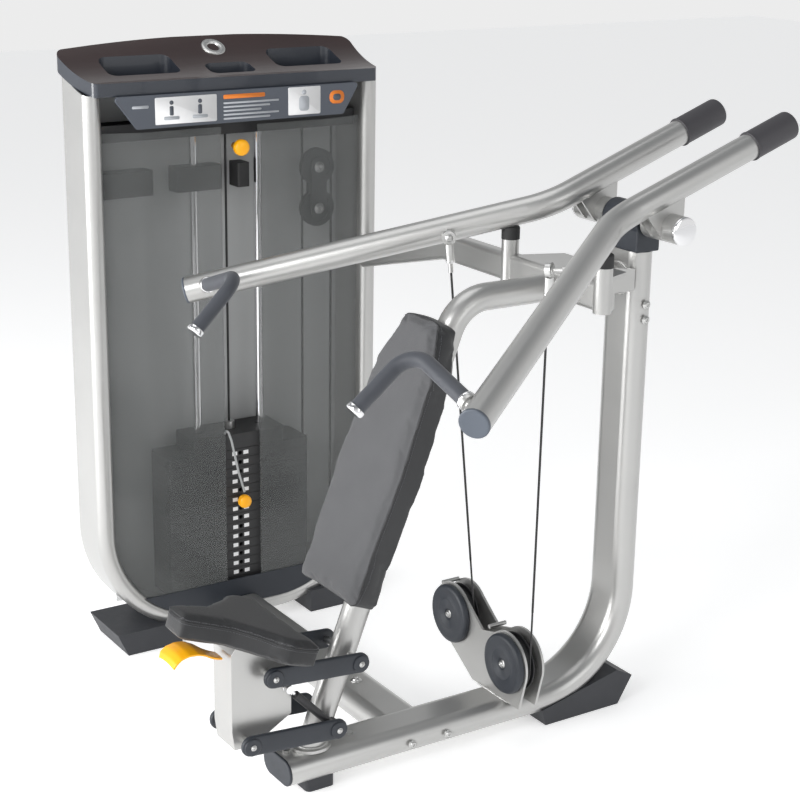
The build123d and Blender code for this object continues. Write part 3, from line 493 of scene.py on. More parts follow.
grip_rubber.relief(grip_rubber.cells(900.0), 0.00025, 0.5)
coat("rubber_bumpers", rubber)
coat("stack_cushions", rubber)
for side in ("left", "right"):
    coat(f"{side}_arm_caps", charcoal)
    coat(f"{side}_grip", grip_rubber)

# Press arms: bright collars at both ends of each grip, a blue-grey plug in
# the front end of the tube and a domed chrome cap on the hub.
arm_front = Vector((0.572, -0.613, 0.982))
arm_bend = Vector((0.113, 0.069, 1.197))
arm_rear = Vector((0.117, 0.442, 1.331))
handle_apex = Vector((0.344, -0.598, 1.061))
handle_tip = Vector((0.330, -0.716, 0.954))
arm_line = (arm_bend - arm_front).normalized()
handle_foot = arm_front + arm_line * 0.030
handle_line = (handle_apex - handle_foot).normalized()
tip_line = (handle_tip - handle_apex).normalized()
hub_place = Vector(joints["left_arm_press"]["pos_m"])
plug_blue = Finish("end_plug", (0.085, 0.10, 0.125), roughness=0.36)
plug_blue.set("Roughness", 0.32 + plug_blue.noise(40.0, 2.0) * 0.12)
plug_blue.relief(plug_blue.noise(1200.0, 2.0), 0.0001, 0.5)
for side, sign in (("left", 1), ("right", -1)):
    body = f"{side}_press_arm"

    def mirrored(vector):
        """The same point or direction on this side of the machine."""
        return Vector((vector.x * sign, vector.y, vector.z))

    ring = (
        (0, 0.0165), (0.0, 0.0180), (0.001, 0.0188), (0.006, 0.0188), (0.007, 0.0180),
        (0.007, 0.0165),
    )
    root = handle_foot + handle_line * 0.0425
    turned(f"{side}_root_collar", mirrored(root), mirrored(handle_line), ring, chrome, body)
    cup = (
        (-0.0085, 0.0162), (-0.0085, 0.0180), (-0.0075, 0.0188), (0.001, 0.0188), (0.003, 0.0178),
        (0.0042, 0.0150), (0.0045, 0.0100), (0.0045, 0.0020),
    )
    turned(f"{side}_tip_collar", mirrored(handle_tip), mirrored(tip_line), cup, chrome, body)
    stopper = (
        (0.0, 0.0296), (0.0, 0.0303), (0.0035, 0.0303), (0.0052, 0.0292), (0.0058, 0.0270),
        (0.0050, 0.0230), (0.0050, 0.0020),
    )
    turned(f"{side}_front_plug", mirrored(arm_front), mirrored(-arm_line), stopper, plug_blue,
           body)
    dome = (
        (0.0, 0.0290), (0.0, 0.0318), (0.0035, 0.0322), (0.0070, 0.0318), (0.0085, 0.0300),
        (0.0092, 0.0260), (0.0105, 0.0200), (0.0112, 0.0100), (0.0114, 0.0010),
    )
    cap_place = Vector((0.171, hub_place.y, hub_place.z))
    cap = turned(f"{side}_hub_cap", mirrored(cap_place), (sign, 0, 0), dome, chrome, body)
    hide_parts(f"{side}_pivot_cap")
    lip = (
        (0.0, 0.0316), (0.0, 0.0336), (0.0015, 0.0342), (0.004, 0.0342), (0.005, 0.0334),
        (0.005, 0.0316),
    )
    rear_line = (arm_rear - arm_bend).normalized()
    sleeve_start = arm_rear - rear_line * 0.0005
    turned(f"{side}_sleeve_lip", mirrored(sleeve_start), mirrored(rear_line), lip, charcoal,
           body)

# Arm cables: black jacketed wire rope. A wider sleeve hangs from the rod end
# over a thinner run that swings at the pulley; a fixed wrap lies round it.
cable_black = Finish("cable_jacket", (0.012, 0.012, 0.013), roughness=0.32)
cable_black.set("Roughness", 0.28 + cable_black.noise(200.0, 2.0) * 0.12)
nylon = Finish("sheave_nylon", (0.018, 0.018, 0.020), roughness=0.45)
nylon.set("Roughness", 0.40 + nylon.noise(60.0, 2.0) * 0.14)
nylon.relief(nylon.noise(500.0, 2.0), 0.0001, 0.4)
for part in ("left_base_pulley", "right_base_pulley", "stack_top_pulley", "block_top_pulley",
             "block_upper_sheave", "block_lower_sheave"):
    coat(part, nylon)
pulley_plane = -0.111
pulley_pitch = 0.062
pulley_centres = {"left": (0.048, 0.182), "right": (-0.170, 0.223)}
arm_travel = 0.285
sweep = np.linspace(0, radians(100), 48)
for (side, centre), sign in zip(pulley_centres.items(), (1, -1)):
    eye = np.array((sign * 0.184, -0.158, 1.130))
    touch = np.array(joints[f"{side}_cable_lead"]["pos_m"])
    down = (touch - eye) / np.linalg.norm(touch - eye)
    low_end = touch - down * 0.15
    splice = low_end - down * (arm_travel + 0.02)
    top = eye + down * 0.078
    hang = np.linspace(top, low_end, 40)
    pipe(f"{side}_cable_upper", hang, 0.0027, cable_black, f"{side}_cable_end", 14)
    run_line = np.linspace(splice, touch + down * 0.006, 30)
    lower = pipe(f"{side}_cable_lower", run_line, 0.0023, cable_black, f"{side}_cable_run",
                 14)
    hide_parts(f"{side}_cable")
    wrap = np.stack((
        centre[0] + pulley_pitch * np.cos(sweep),
        np.full(len(sweep), pulley_plane),
        centre[1] - pulley_pitch * np.sin(sweep),
    ), 1)
    pipe(f"{side}_cable_wrap", wrap, 0.0024, cable_black, "frame", 14)
    rod_nut = (
        (0.0, 0.0075), (0.0, 0.0098), (0.001, 0.0104), (0.006, 0.0104), (0.007, 0.0098),
        (0.007, 0.0075),
    )
    turned(f"{side}_ferrule_nut", eye + down * 0.050, down, rod_nut, chrome,
           f"{side}_cable_end", 6)

# Base pulley covers: two thin moulded discs with a rounded rim and a shallow
# raised ring, each held by one socket-head bolt on the pulley axle.
cover_face = -0.131
for side, centre in pulley_centres.items():
    disc = (
        (0.0, 0.0690), (0.0, 0.0700), (0.004, 0.0708), (0.009, 0.0704), (0.0125, 0.0685),
        (0.0145, 0.0650), (0.0150, 0.0610), (0.0146, 0.0570), (0.0146, 0.0380), (0.0152, 0.0368),
        (0.0152, 0.0352), (0.0146, 0.0340), (0.0146, 0.0150), (0.0138, 0.0138), (0.0110, 0.0130),
        (0.0110, 0.0010),
    )
    place = (centre[0], cover_face, centre[1])
    cover = turned(f"{side}_pulley_cover", place, (0, -1, 0), disc, slate, "frame",
                   96)
    if side == "left":
        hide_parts("pulley_covers")
    recess = (centre[0], cover_face - 0.0112, centre[1])
    bolt(f"{side}_cover_bolt", recess, (0, -1, 0), 0.0068, "frame", zinc, 0.7)

# Tower casing: powder-coated rear panel, moulded base skirt, smoked acrylic
# shroud panels and the black header channel above the guide rods.
black_paint = Finish("black_paint", (0.018, 0.018, 0.020), roughness=0.42)
black_paint.set("Roughness", 0.38 + black_paint.noise(35.0, 3.0) * 0.14)
black_paint.relief(black_paint.noise(900.0, 2.0), 0.0001, 0.4)
panel_grey = Finish("panel_paint", (0.17, 0.175, 0.17), roughness=0.55)
panel_grey.set("Base Color", panel_grey.blend(
    panel_grey.noise(3.0, 3.0), (0.52, 0.53, 0.53), (0.60, 0.61, 0.61)))
panel_grey.relief(panel_grey.noise(600.0, 2.0), 0.0001, 0.3)
skirt_blue = Finish("skirt_plastic", (0.012, 0.016, 0.024), roughness=0.35)
skirt_blue.set("Roughness", 0.32 + skirt_blue.noise(30.0, 2.0) * 0.1)
smoke = Finish("smoked_acrylic", (0.16, 0.17, 0.17), roughness=0.10, ior=1.49)
smoke_cloud = smoke.noise(2.2, 2.0)
smoke.set("Base Color", smoke.blend(smoke_cloud, (0.130, 0.137, 0.137), (0.165, 0.172, 0.170)))
smoke.set("Roughness", 0.08 + smoke_cloud * 0.06)
smoke.set("Alpha", 0.28 + smoke_cloud * 0.10)
coat("tower_rear_panel", panel_grey)
coat("rod_header", black_paint)
coat("floating_block", black_paint)
coat("gas_spring_cylinder", black_paint)
coat("tower_base_cover", skirt_blue)
coat("shroud_panels", smoke)

# Top cap: a dished tray moulded in two colours, a maroon-black satin top and
# a slate rim, with three storage pockets and a plain turned badge ring.
cap_finish = Finish("cap_plastic", (0.05, 0.03, 0.03), roughness=0.3, coat_weight=0.35)
facing = cap_finish.node("ShaderNodeSeparateXYZ", {}, {
    0: cap_finish.node("ShaderNodeTexCoord", output="Normal")}, 2)
cap_mask = facing.above(0.55)
cap_top = cap_finish.blend(cap_finish.noise(5.0, 3.0), (0.020, 0.010, 0.010), (0.036, 0.016, 0.015))
cap_finish.set("Base Color", cap_finish.blend(cap_mask, (0.028, 0.033, 0.044), cap_top))
cap_finish.set("Roughness", 0.26 + cap_finish.noise(50.0, 2.0) * 0.1)
cap_finish.relief(cap_finish.noise(1400.0, 2.0), 0.0001, 0.4)
softened("top_cap", cap_finish, 0.0025)
dish_x, dish_z, dish_radius = -0.7456, 1.7815, 0.351
badge_angle = radians(238)
badge_away = Vector((-cos(badge_angle), 0, -sin(badge_angle)))
badge_place = Vector((dish_x, -0.355, dish_z)) - badge_away * dish_radius
badge_profile = (
    (-0.002, 0.0150), (0.0025, 0.0155), (0.0040, 0.0175), (0.0040, 0.0285), (0.0028, 0.0300),
    (-0.002, 0.0305),
)
turned("cap_badge_ring", badge_place, badge_away, badge_profile, zinc, "frame", 96)

# Instruction placard: a slate plate below the cap with plain printed fields,
# two white panels, pale lines and orange accents, and no lettering.
placard_blue = Finish("placard_base", (0.075, 0.085, 0.105), roughness=0.4)
placard_blue.set("Roughness", 0.36 + placard_blue.noise(40.0, 2.0) * 0.1)
white_print = Finish("white_print", (0.78, 0.78, 0.78), roughness=0.45)
white_print.set("Base Color", white_print.blend(
    white_print.noise(30.0), (0.74, 0.74, 0.75), (0.82, 0.82, 0.82)))
pale_print = Finish("pale_print", (0.42, 0.44, 0.47), roughness=0.5)
pale_print.set("Roughness", 0.45 + pale_print.noise(50.0) * 0.1)
orange_print = Finish("orange_print", (0.75, 0.20, 0.02), roughness=0.45)
orange_print.set("Roughness", 0.42 + orange_print.noise(50.0) * 0.1)
softened("placard", placard_blue, 0.0012)
placard_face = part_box("placard")[1][0]


def printed(name, low, high, finish, lift=0.0006, round_by=0.003):
    """A printed field: a thin rounded rectangle just proud of the placard."""
    corner = np.linspace(0, pi / 2, 7)
    y_half, z_half = (high[0] - low[0]) / 2, (high[1] - low[1]) / 2
    round_by = min(round_by, 0.45 * y_half * 2, 0.45 * z_half * 2)
    outline = []
    for quarter, (sy, sz) in enumerate(((1, 1), (-1, 1), (-1, -1), (1, -1))):
        angle = corner + quarter * pi / 2
        outline.append(np.stack((
            sy * (y_half - round_by) + round_by * np.cos(angle),
            sz * (z_half - round_by) + round_by * np.sin(angle),
        ), 1))
    outline = np.concatenate(outline)
    middle = ((low[0] + high[0]) / 2, (low[1] + high[1]) / 2)
    sunk = -0.0004
    rings = [np.column_stack((
        np.full(len(outline), placard_face + depth),
        outline[:, 0] + middle[0], outline[:, 1] + middle[1],
    )) for depth in (sunk, lift)]
    return skin(name, rings, finish, "frame")


printed("placard_panel_left", (-0.590, 1.331), (-0.430, 1.394), white_print)
printed("placard_tag", (-0.648, 1.371), (-0.606, 1.378), pale_print)
printed("placard_panel_right", (-0.236, 1.331), (-0.146, 1.398), white_print)
printed("placard_title_bar", (-0.412, 1.381), (-0.300, 1.391), orange_print)
for row in range(5):
    bar_z = 1.371 - row * 0.0092
    bar_end = -0.262 - (row * 7 % 3) * 0.024
    printed(f"placard_line_{row}", (-0.412, bar_z - 0.0022), (bar_end, bar_z + 0.0022), pale_print)
printed("placard_mark", (-0.120, 1.352), (-0.078, 1.384), orange_print, round_by=0.014)
printed("placard_mark_gap", (-0.110, 1.360), (-0.088, 1.376), placard_blue, 0.0012, 0.008)
second_layer = 0.0011
for number, figure_y in enumerate((-0.548, -0.474)):
    for shape, reach, low, high, print_finish, round_by in (
        ("seat", 0.020, 1.341, 1.349, pale_print, 0.003),
        ("body", 0.005, 1.351, 1.373, placard_blue, 0.003),
        ("head", 0.005, 1.376, 1.386, placard_blue, 0.005),
    ):
        printed(f"placard_{shape}_{number}", (figure_y - reach, low), (figure_y + reach, high),
                print_finish, second_layer, round_by)
printed("placard_torso", (-0.206, 1.340), (-0.178, 1.376), pale_print, second_layer, 0.008)
printed("placard_torso_head", (-0.198, 1.379), (-0.186, 1.391), pale_print, second_layer, 0.006)

# Weight stack: black painted steel plates with two white marks on each at
# the pin holes, a head plate, the selector pin and its grey lanyard.
iron = Finish("stack_paint", (0.020, 0.020, 0.021), roughness=0.5)
iron.set("Roughness", 0.44 + iron.noise(30.0, 3.0) * 0.18)
iron.set("Base Color", iron.blend(
    iron.noise(12.0, 4.0), (0.016, 0.016, 0.017), (0.032, 0.032, 0.033)))
orange = Finish("orange_plastic", (1.0, 0.36, 0.0), roughness=0.3)
orange.set("Base Color", orange.blend(orange.noise(25.0), (1.0, 0.40, 0.0), (1.0, 0.50, 0.01)))
orange.set("Roughness", 0.28 + orange.noise(60.0) * 0.08)
for part in ("resting_plates", "lifted_plates", "head_plate", "increment_weights"):
    softened(part, iron, 0.002)
lanyard_grey = Finish("lanyard_cord", (0.35, 0.36, 0.36), roughness=0.6)
lanyard_grey.relief(lanyard_grey.cells(500.0), 0.0003, 0.6)
coat("pin_lanyard", lanyard_grey)
tower_mid = -0.355
plate_face = -0.815
plate_pitch = 0.025
stack_foot = 0.110
plate_count, resting_count = 15, 9
for level in range(plate_count):
    mark_z = stack_foot + (level + 0.5) * plate_pitch
    owner = "frame" if level < resting_count else "weight_stack"
    for number, offset in enumerate((-0.016, 0.016)):
        mark = piece(
            f"plate_mark_{level}_{number}",
            [(plate_face + 0.0006, tower_mid + offset + dy, mark_z + dz)
             for dy, dz in ((-0.007, -0.005), (0.007, -0.005), (0.007, 0.005), (-0.007, 0.005))],
            [(0, 1, 2, 3)], white_print, owner, False)
        thick = mark.modifiers.new("thickness", "SOLIDIFY")
        thick.thickness = 0.0006
pin_place = Vector((-0.806, tower_mid, 0.3475))
pin_profile = (
    (-0.016, 0.0046), (-0.004, 0.0046), (-0.004, 0.0080), (0.000, 0.0100), (0.003, 0.0150),
    (0.007, 0.0170), (0.016, 0.0172), (0.021, 0.0155), (0.0235, 0.0110), (0.0245, 0.0050),
    (0.0246, 0.0005),
)
pin_shaft = ((-0.076, 0.0020), (-0.079, 0.0040), (-0.010, 0.0045), (-0.002, 0.0045))
pin_head = turned("selector_pin_knob", pin_place, (1, 0, 0), pin_profile, orange, "pin",
                  48)
turned("selector_pin_shaft", pin_place, (1, 0, 0), pin_shaft, zinc, "pin", 24)
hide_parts("selector_pin")
dial_place = Vector((-0.800, tower_mid, 1.259))
dial_profile = (
    (-0.028, 0.0078), (-0.002, 0.0080), (0.000, 0.0120), (0.002, 0.0185), (0.006, 0.0200),
    (0.014, 0.0200), (0.019, 0.0180), (0.0215, 0.0120), (0.0222, 0.0060), (0.0222, 0.0005),
)
dial = turned("increment_dial_knob", dial_place, (1, 0, 0), dial_profile, orange,
              "increment_dial", 48)
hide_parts("increment_knob")

# Stack cable: one length shortens as the stack rises, one goes over the top
# pulleys, a sleeve loop carries the floating block, and two strands drive it.
rod_x = -0.875
strand_left = -0.138
sheave_pitch = 0.0425
block_y = strand_left + sheave_pitch
strand_right = block_y + sheave_pitch
stack_pulley = Vector(joints["stack_pulley_spin"]["pos_m"])
block_pulley = Vector(joints["block_pulley_spin"]["pos_m"])
stack_top = 0.543
wheel_z = stack_pulley.z
climb = pipe(
    "stack_cable_climb",
    np.linspace((rod_x, tower_mid, stack_top - 0.004), (rod_x, tower_mid, wheel_z), 60),
    0.003, cable_black, "frame", 12,
)
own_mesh(climb)
quarter = np.linspace(0, pi / 2, 16)
strand_foot = 1.06
over = np.concatenate((
    np.stack((np.full(len(quarter), rod_x), stack_pulley.y - sheave_pitch * np.cos(quarter),
              wheel_z + sheave_pitch * np.sin(quarter)), 1),
    np.stack((np.full(len(quarter), rod_x), block_pulley.y + sheave_pitch * np.sin(quarter),
              wheel_z + sheave_pitch * np.cos(quarter)), 1),
    np.linspace((rod_x, strand_left, wheel_z - 0.01), (rod_x, strand_left, strand_foot), 20),
))
over_cable = pipe("stack_cable_over", over, 0.0026, cable_black, "frame", 12)
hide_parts("stack_cable")
anchor_line = np.linspace((rod_x, strand_right, 1.30), (rod_x, strand_right, strand_foot), 20)
pipe("block_anchor_strand", anchor_line, 0.0026, cable_black, "frame", 12)
upper_sheave_z = joints["upper_sheave_spin"]["pos_m"][2]
lower_sheave_z = joints["lower_sheave_spin"]["pos_m"][2]
under = np.linspace(0, pi, 40)
sling_low, sling_high = upper_sheave_z + 0.004, upper_sheave_z + 0.150
loop = np.concatenate((
    np.linspace((rod_x, strand_left, sling_high), (rod_x, strand_left, sling_low), 20),
    np.stack((np.full(len(under), rod_x), block_y - sheave_pitch * np.cos(under),
              upper_sheave_z - sheave_pitch * np.sin(under)), 1),
    np.linspace((rod_x, strand_right, sling_low), (rod_x, strand_right, sling_high), 20),
))
pipe("block_sling", loop, 0.0031, cable_black, "pulley_block", 12)
hood = np.stack((np.full(len(under), rod_x), block_y - sheave_pitch * np.cos(under),
                 lower_sheave_z + sheave_pitch * np.sin(under)), 1)
pipe("drive_cable_hood", hood, 0.003, cable_black, "pulley_block", 12)
foot_z = 0.10
for name, strand_y in (("front", strand_left), ("rear", strand_right)):
    fall = pipe(
        f"drive_cable_{name}",
        np.linspace((rod_x, strand_y, lower_sheave_z), (rod_x, strand_y, foot_z), 60),
        0.003, cable_black, "frame", 12,
    )
    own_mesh(fall)
for name, face_x, way in (("front", -0.861, 1), ("rear", -0.889, -1)):
    for label, wheel in (("upper", upper_sheave_z), ("lower", lower_sheave_z)):
        bolt(f"block_{label}_bolt_{name}", (face_x, block_y, wheel), (way, 0, 0), 0.0095,
             "pulley_block")

# Seat linkage: two pairs of moulded obround links with domed faces, a raised
# boss and a bolt at each pivot, and a silver box carriage between them.
softened("seat_carriage", silver, 0.003)


def stadium(start, end, radius, count=28):
    """Outline of all points at one distance from a straight line segment."""
    start, end = np.asarray(start, float), np.asarray(end, float)
    way = atan2(*(end - start)[::-1])
    first = way + pi / 2 + np.linspace(0, pi, count)
    second = way - pi / 2 + np.linspace(0, pi, count)
    return np.concatenate((
        start + radius * np.stack((np.cos(first), np.sin(first)), 1),
        end + radius * np.stack((np.cos(second), np.sin(second)), 1),
    ))


link_inner, link_outer, link_half = 0.066, 0.078, 0.0225
link_reach = np.array((-0.208, 0.016))
for pair, pivot in (("lower", (-0.594, 0.151)), ("upper", (-0.540, 0.293))):
    rear = np.array(pivot)
    front = rear + link_reach
    for side, sign in (("left", 1), ("right", -1)):
        rings = []
        for across, radius in (
            (link_inner, link_half - 0.003), (link_inner + 0.0012, link_half - 0.0008),
            (link_inner + 0.003, link_half), (link_outer - 0.004, link_half),
            (link_outer - 0.0014, link_half - 0.0012), (link_outer - 0.0002, link_half - 0.004),
            (link_outer + 0.0006, link_half - 0.009), (link_outer + 0.0008, 0.004),
        ):
            outline = stadium(rear, front, radius)
            rings.append(np.column_stack((np.full(len(outline), sign * across), outline)))
        link = skin(f"{pair}_link_{side}", rings, slate, f"{pair}_link_pair")
        if side == "left":
            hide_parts(f"{pair}_links")
        for end, place in (("rear", rear), ("front", front)):
            boss = (
                (-0.002, 0.0195), (0.0030, 0.0195), (0.0044, 0.0180), (0.0048, 0.0150),
                (0.0048, 0.0010),
            )
            at = (sign * link_outer, place[0], place[1])
            turned(f"{pair}_link_boss_{side}_{end}", at, (sign, 0, 0), boss, slate,
                   f"{pair}_link_pair", 48)
            face = (sign * (link_outer + 0.0052), place[0], place[1])
            owner = "frame" if end == "rear" else "seat"
            bolt(f"{pair}_link_bolt_{side}_{end}", face, (sign, 0, 0), 0.0045, owner)

# Release paddle: a curved orange moulding under the seat nose, wider at its
# front edge, which curls down for the fingers.
paddle_line = np.array((
    (-0.838, 0.352), (-0.852, 0.357), (-0.868, 0.365), (-0.884, 0.376), (-0.902, 0.384),
    (-0.922, 0.386), (-0.940, 0.382), (-0.951, 0.374), (-0.956, 0.363),
))
paddle_rows, paddle_columns = 40, 17
share = np.linspace(0, len(paddle_line) - 1, paddle_rows)
whole = np.arange(len(paddle_line))
run = np.stack([np.interp(share, whole, paddle_line[:, column]) for column in (0, 1)], 1)
half_width = np.interp(share, (0, 2, 4, 7, 8), (0.018, 0.026, 0.037, 0.038, 0.034))
across = np.linspace(-1, 1, paddle_columns)
crown = 0.004 * (1 - across ** 2)
surface = np.stack((
    half_width[:, None] * across[None, :],
    np.repeat(run[:, :1], paddle_columns, 1),
    run[:, 1:] + crown[None, :] * np.interp(share, (0, 4, 8), (0.2, 1, 1))[:, None],
), 2)
paddle_faces = grid_faces(paddle_rows, paddle_columns, False, False)
paddle = piece("release_paddle", surface, paddle_faces, orange, "seat_lever")
thick = paddle.modifiers.new("thickness", "SOLIDIFY")
thick.thickness = 0.0045
thick.offset = 0
rounding = paddle.modifiers.new("edges", "BEVEL")
rounding.width = 0.0014
rounding.segments = 3
smooth = paddle.modifiers.new("smooth", "SUBSURF")
smooth.levels = smooth.render_levels = 1
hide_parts("release_lever")

# Pads: moulded foam under sewn vinyl. The back pad has a lighter woven front
# panel, the seat a plain saddle top; both have stitched seams at the edge.
vinyl = Finish("black_vinyl", (0.030, 0.031, 0.034), roughness=0.48, sheen_weight=0.1)
vinyl_grain = vinyl.cells(620.0)
vinyl_fold = vinyl.noise(26.0, 4.0)
vinyl.set("Base Color", vinyl.blend(vinyl_fold, (0.009, 0.0095, 0.0105), (0.017, 0.018, 0.020)))
vinyl.set("Roughness", 0.40 + vinyl_grain * 0.25 + vinyl_fold * 0.06)
vinyl.relief(vinyl_grain + vinyl_fold * 1.5, 0.00035, 0.7)
lean = radians(22.1)
back_origin = np.array((0.0, -0.592, 0.435))
back_up = np.array((0.0, sin(lean), cos(lean)))
back_out = np.array((0.0, -cos(lean), sin(lean)))
tilt = radians(17.6)
seat_origin = np.array((0.0, -0.944, 0.481))
seat_back = np.array((0.0, cos(tilt), -sin(tilt)))
seat_out = np.array((0.0, sin(tilt), cos(tilt)))


def places(mesh):
    """Every vertex position of a mesh, as one row of numbers each."""
    found = np.empty(len(mesh.vertices) * 3, np.float32)
    mesh.vertices.foreach_get("co", found)
    return found.reshape(-1, 3).astype(float)


def plumped(node, name, finish, slack, limit, pressure):
    """Foam under its cover: the CAD shape shrunk, blown up as cloth, capped."""
    mesh = nodes[node].data.copy()
    made = bpy.data.objects.new(name, mesh)
    bpy.context.scene.collection.objects.link(made)
    work = bmesh.new()
    work.from_mesh(mesh)
    bmesh.ops.remove_doubles(work, verts=work.verts, dist=1e-5)
    bmesh.ops.recalc_face_normals(work, faces=work.faces)
    work.to_mesh(mesh)
    work.free()
    remesh = made.modifiers.new("voxels", "REMESH")
    remesh.mode = "VOXEL"
    remesh.voxel_size = 0.006
    shrink = made.modifiers.new("shrink", "DISPLACE")
    shrink.strength = -slack
    shrink.mid_level = 0
    ease = made.modifiers.new("ease", "SMOOTH")
    ease.iterations = 6
    settle(made)
    rest = places(made.data)
    cloth = made.modifiers.new("cover", "CLOTH")
    cloth.settings.use_pressure = True
    cloth.settings.uniform_pressure_force = pressure
    cloth.settings.effector_weights.gravity = 0
    cloth.settings.quality = 5
    cloth.settings.tension_stiffness = 25
    cloth.settings.compression_stiffness = 25
    cloth_frames = 20
    for step in range(cloth_frames):
        bpy.context.scene.frame_set(step + 1)
    settle(made)
    moved = places(made.data) - rest
    length = np.linalg.norm(moved, axis=1)[:, None]
    capped = rest + moved * np.minimum(1, limit / np.maximum(length, 1e-9))
    made.data.vertices.foreach_set("co", capped.astype(np.float32).ravel())
    bpy.context.scene.frame_set(1)
    finer = made.modifiers.new("finer", "SUBSURF")
    finer.levels = finer.render_levels = 1
    settle(made)
    made.data.materials.clear()
    made.data.materials.append(finish.material)
    made.data.polygons.foreach_set("use_smooth", np.full(len(made.data.polygons), True))
    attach(made, nodes[node]["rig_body"])
    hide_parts(node)
    return made


def settle(made):
    """Applies every modifier of an object to its mesh."""
    bpy.context.view_layer.update()
    graph = bpy.context.evaluated_depsgraph_get()
    final = bpy.data.meshes.new_from_object(made.evaluated_get(graph))
    made.modifiers.clear()
    made.data = final


def rounded_outline(corners, radius, per_corner=9, spacing=0.005):
    """A closed outline with every corner of a polygon turned into a curve."""
    corners = np.asarray(corners, float)
    points = []
    for here, before, after in zip(corners, np.roll(corners, 1, 0), np.roll(corners, -1, 0)):
        to_before = (before - here) / np.linalg.norm(before - here)
        to_after = (after - here) / np.linalg.norm(after - here)
        half = np.arccos(np.clip(to_before @ to_after, -1, 1)) / 2
        shorter = min(np.linalg.norm(before - here), np.linalg.norm(after - here))
        reach = min(radius / tan(half), 0.45 * shorter)
        share = np.linspace(0, 1, per_corner)[:, None]
        start, end = here + to_before * reach, here + to_after * reach
        points.append((1 - share) ** 2 * start + 2 * share * (1 - share) * here + share ** 2 * end)
    corners_done = np.concatenate(points)
    closed = np.concatenate((corners_done, corners_done[:1]))
    run = np.concatenate(((0,), np.cumsum(np.linalg.norm(np.diff(closed, axis=0), axis=1))))
    at = np.linspace(0, run[-1], int(run[-1] / spacing), endpoint=False)
    return np.stack((np.interp(at, run, closed[:, 0]), np.interp(at, run, closed[:, 1])), 1)


def on_surface(pad, points, lift):
    """The nearest points on a pad's cover, raised along its normal."""
    graph = bpy.context.evaluated_depsgraph_get()
    tree = BVHTree.FromObject(pad, graph)
    found = [tree.find_nearest(Vector(point)) for point in points]
    return np.array([place + normal * lift for place, normal, _, _ in found])


def seam(pad, name, points, body):
    """A sewn seam: a thin welt laid on the pad's cover."""
    welt = on_surface(pad, points, 0.0002)
    pipe(f"{name}_welt", welt, 0.0013, vinyl, body, 8, True)


def stitches(pad, name, points, body, finish):
    """A row of stitches: short flattened beads, each over one needle pitch."""
    line = on_surface(pad, points, 0.0002)
    ahead, side, lift = frames_along(line, True)
    around = 6
    angle = np.linspace(0, 2 * pi, around, endpoint=False)
    shape = np.array(((-0.0019, 0.35), (-0.0012, 1.0), (0.0012, 1.0), (0.0019, 0.35)))
    along = shape[:, 0][None, :, None, None] * ahead[:, None, None, :]
    thread_radius = 0.0005
    ring = thread_radius * (np.cos(angle)[None, None, :, None] * side[:, None, None, :]
                            + np.sin(angle)[None, None, :, None] * lift[:, None, None, :])
    rings = line[:, None, None, :] + along + shape[:, 1][None, :, None, None] * ring
    faces = []
    bead = len(shape) * around
    for start in range(0, len(line) * bead, bead):
        faces += grid_faces(len(shape), around, offset=start)
        faces.append(list(range(start, start + around))[::-1])
        faces.append(list(range(start + bead - around, start + bead)))
    made = piece(name, rings, faces, finish, body)
    outward(made)


thread = Finish("seam_thread", (0.10, 0.10, 0.11), roughness=0.6)
thread.set("Roughness", 0.55 + thread.noise(300.0) * 0.1)

pad_two_tone = Finish("back_pad_cover", (0.08, 0.08, 0.085), roughness=0.55, sheen_weight=0.12)
spot = pad_two_tone.node("ShaderNodeVectorMath", {"operation": "SUBTRACT"}, {
    0: pad_two_tone.place(), 1: tuple(back_origin)})
depth = pad_two_tone.node("ShaderNodeVectorMath", {"operation": "DOT_PRODUCT"}, {
    0: spot, 1: tuple(back_out)}, "Value")
climb_up = pad_two_tone.node("ShaderNodeVectorMath", {"operation": "DOT_PRODUCT"}, {
    0: spot, 1: tuple(back_up)}, "Value")
sideways = pad_two_tone.node("ShaderNodeSeparateXYZ", {}, {0: spot}, 0)
front_share = ((depth + 0.0125) * 400).clamped()
thread_pitch = 2 * pi / 0.0016
weave = (climb_up * thread_pitch).wave() * (sideways * thread_pitch).wave()
grain = pad_two_tone.cells(620.0)
fold = pad_two_tone.noise(18.0, 4.0)
fabric = pad_two_tone.blend(fold, (0.066, 0.067, 0.071), (0.092, 0.093, 0.098))
skin_tone = pad_two_tone.blend(fold, (0.011, 0.0115, 0.013), (0.021, 0.022, 0.024))
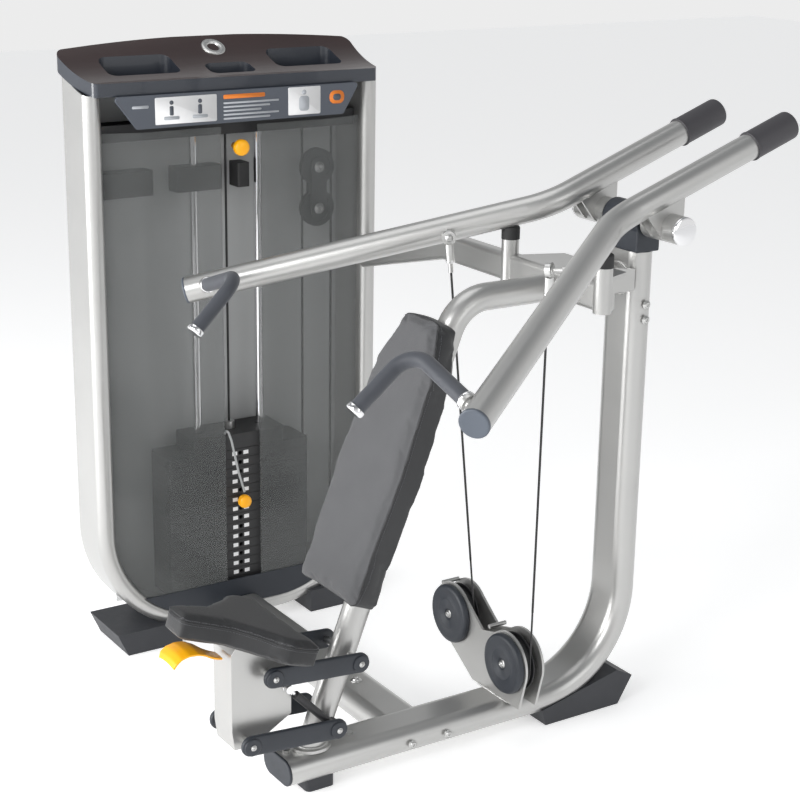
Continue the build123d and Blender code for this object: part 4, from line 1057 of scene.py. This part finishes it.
pad_two_tone.set("Base Color", pad_two_tone.blend(front_share, skin_tone, fabric))
pad_two_tone.set("Roughness", 0.44 + front_share * 0.22 + grain * 0.12)
pad_two_tone.relief(weave * front_share * 0.5 + grain * (1 - front_share) + fold, 0.00035, 0.7)

back_pad = plumped("back_pad", "back_cushion", pad_two_tone, 0.006, 0.010, 4.0)
cover = places(back_pad.data)
depth_in = (cover - back_origin) @ back_out
board_side, side_ease = 0.042, 0.035
board_front, depth_ease = -0.028, 0.022
pad_wrap = 0.014
aside = np.clip((np.abs(cover[:, 0]) - board_side) / side_ease, 0, 1)
behind = np.clip((board_front - depth_in) / depth_ease, 0, 1)
cover -= (pad_wrap * aside * behind)[:, None] * back_out
back_pad.data.vertices.foreach_set("co", cover.astype(np.float32).ravel())
back_pad.data.update()
back_corners = ((-0.122, 0), (0.122, 0), (0.134, 0.300), (0.118, 0.520), (0.066, 0.640),
                (-0.066, 0.640), (-0.118, 0.520), (-0.134, 0.300))
back_line = rounded_outline(back_corners, 0.030)
back_points = (back_origin + back_line[:, :1] * np.array((1.0, 0, 0)) + back_line[:, 1:] * back_up
               - back_out * 0.010)
seam(back_pad, "back_front_seam", back_points, "frame")
stitches(back_pad, "back_front_stitches", back_points - back_out * 0.006, "frame", thread)
softened("back_pad_board", black_paint, 0.002)

seat_pad = plumped("seat_pad", "seat_cushion", vinyl, 0.006, 0.009, 4.0)
seat_corners = ((-0.042, 0), (0.042, 0), (0.072, 0.110), (0.160, 0.215), (0.160, 0.290),
                (-0.160, 0.290), (-0.160, 0.215), (-0.072, 0.110))
seat_line = rounded_outline(seat_corners, 0.024)
seat_points = (seat_origin + seat_line[:, :1] * np.array((1.0, 0, 0)) + seat_line[:, 1:] * seat_back
               - seat_out * 0.012)
seam(seat_pad, "seat_top_seam", seat_points, "seat")
stitches(seat_pad, "seat_upper_stitches", seat_points + seat_out * 0.005, "seat", thread)
stitches(seat_pad, "seat_lower_stitches", seat_points - seat_out * 0.005, "seat", thread)
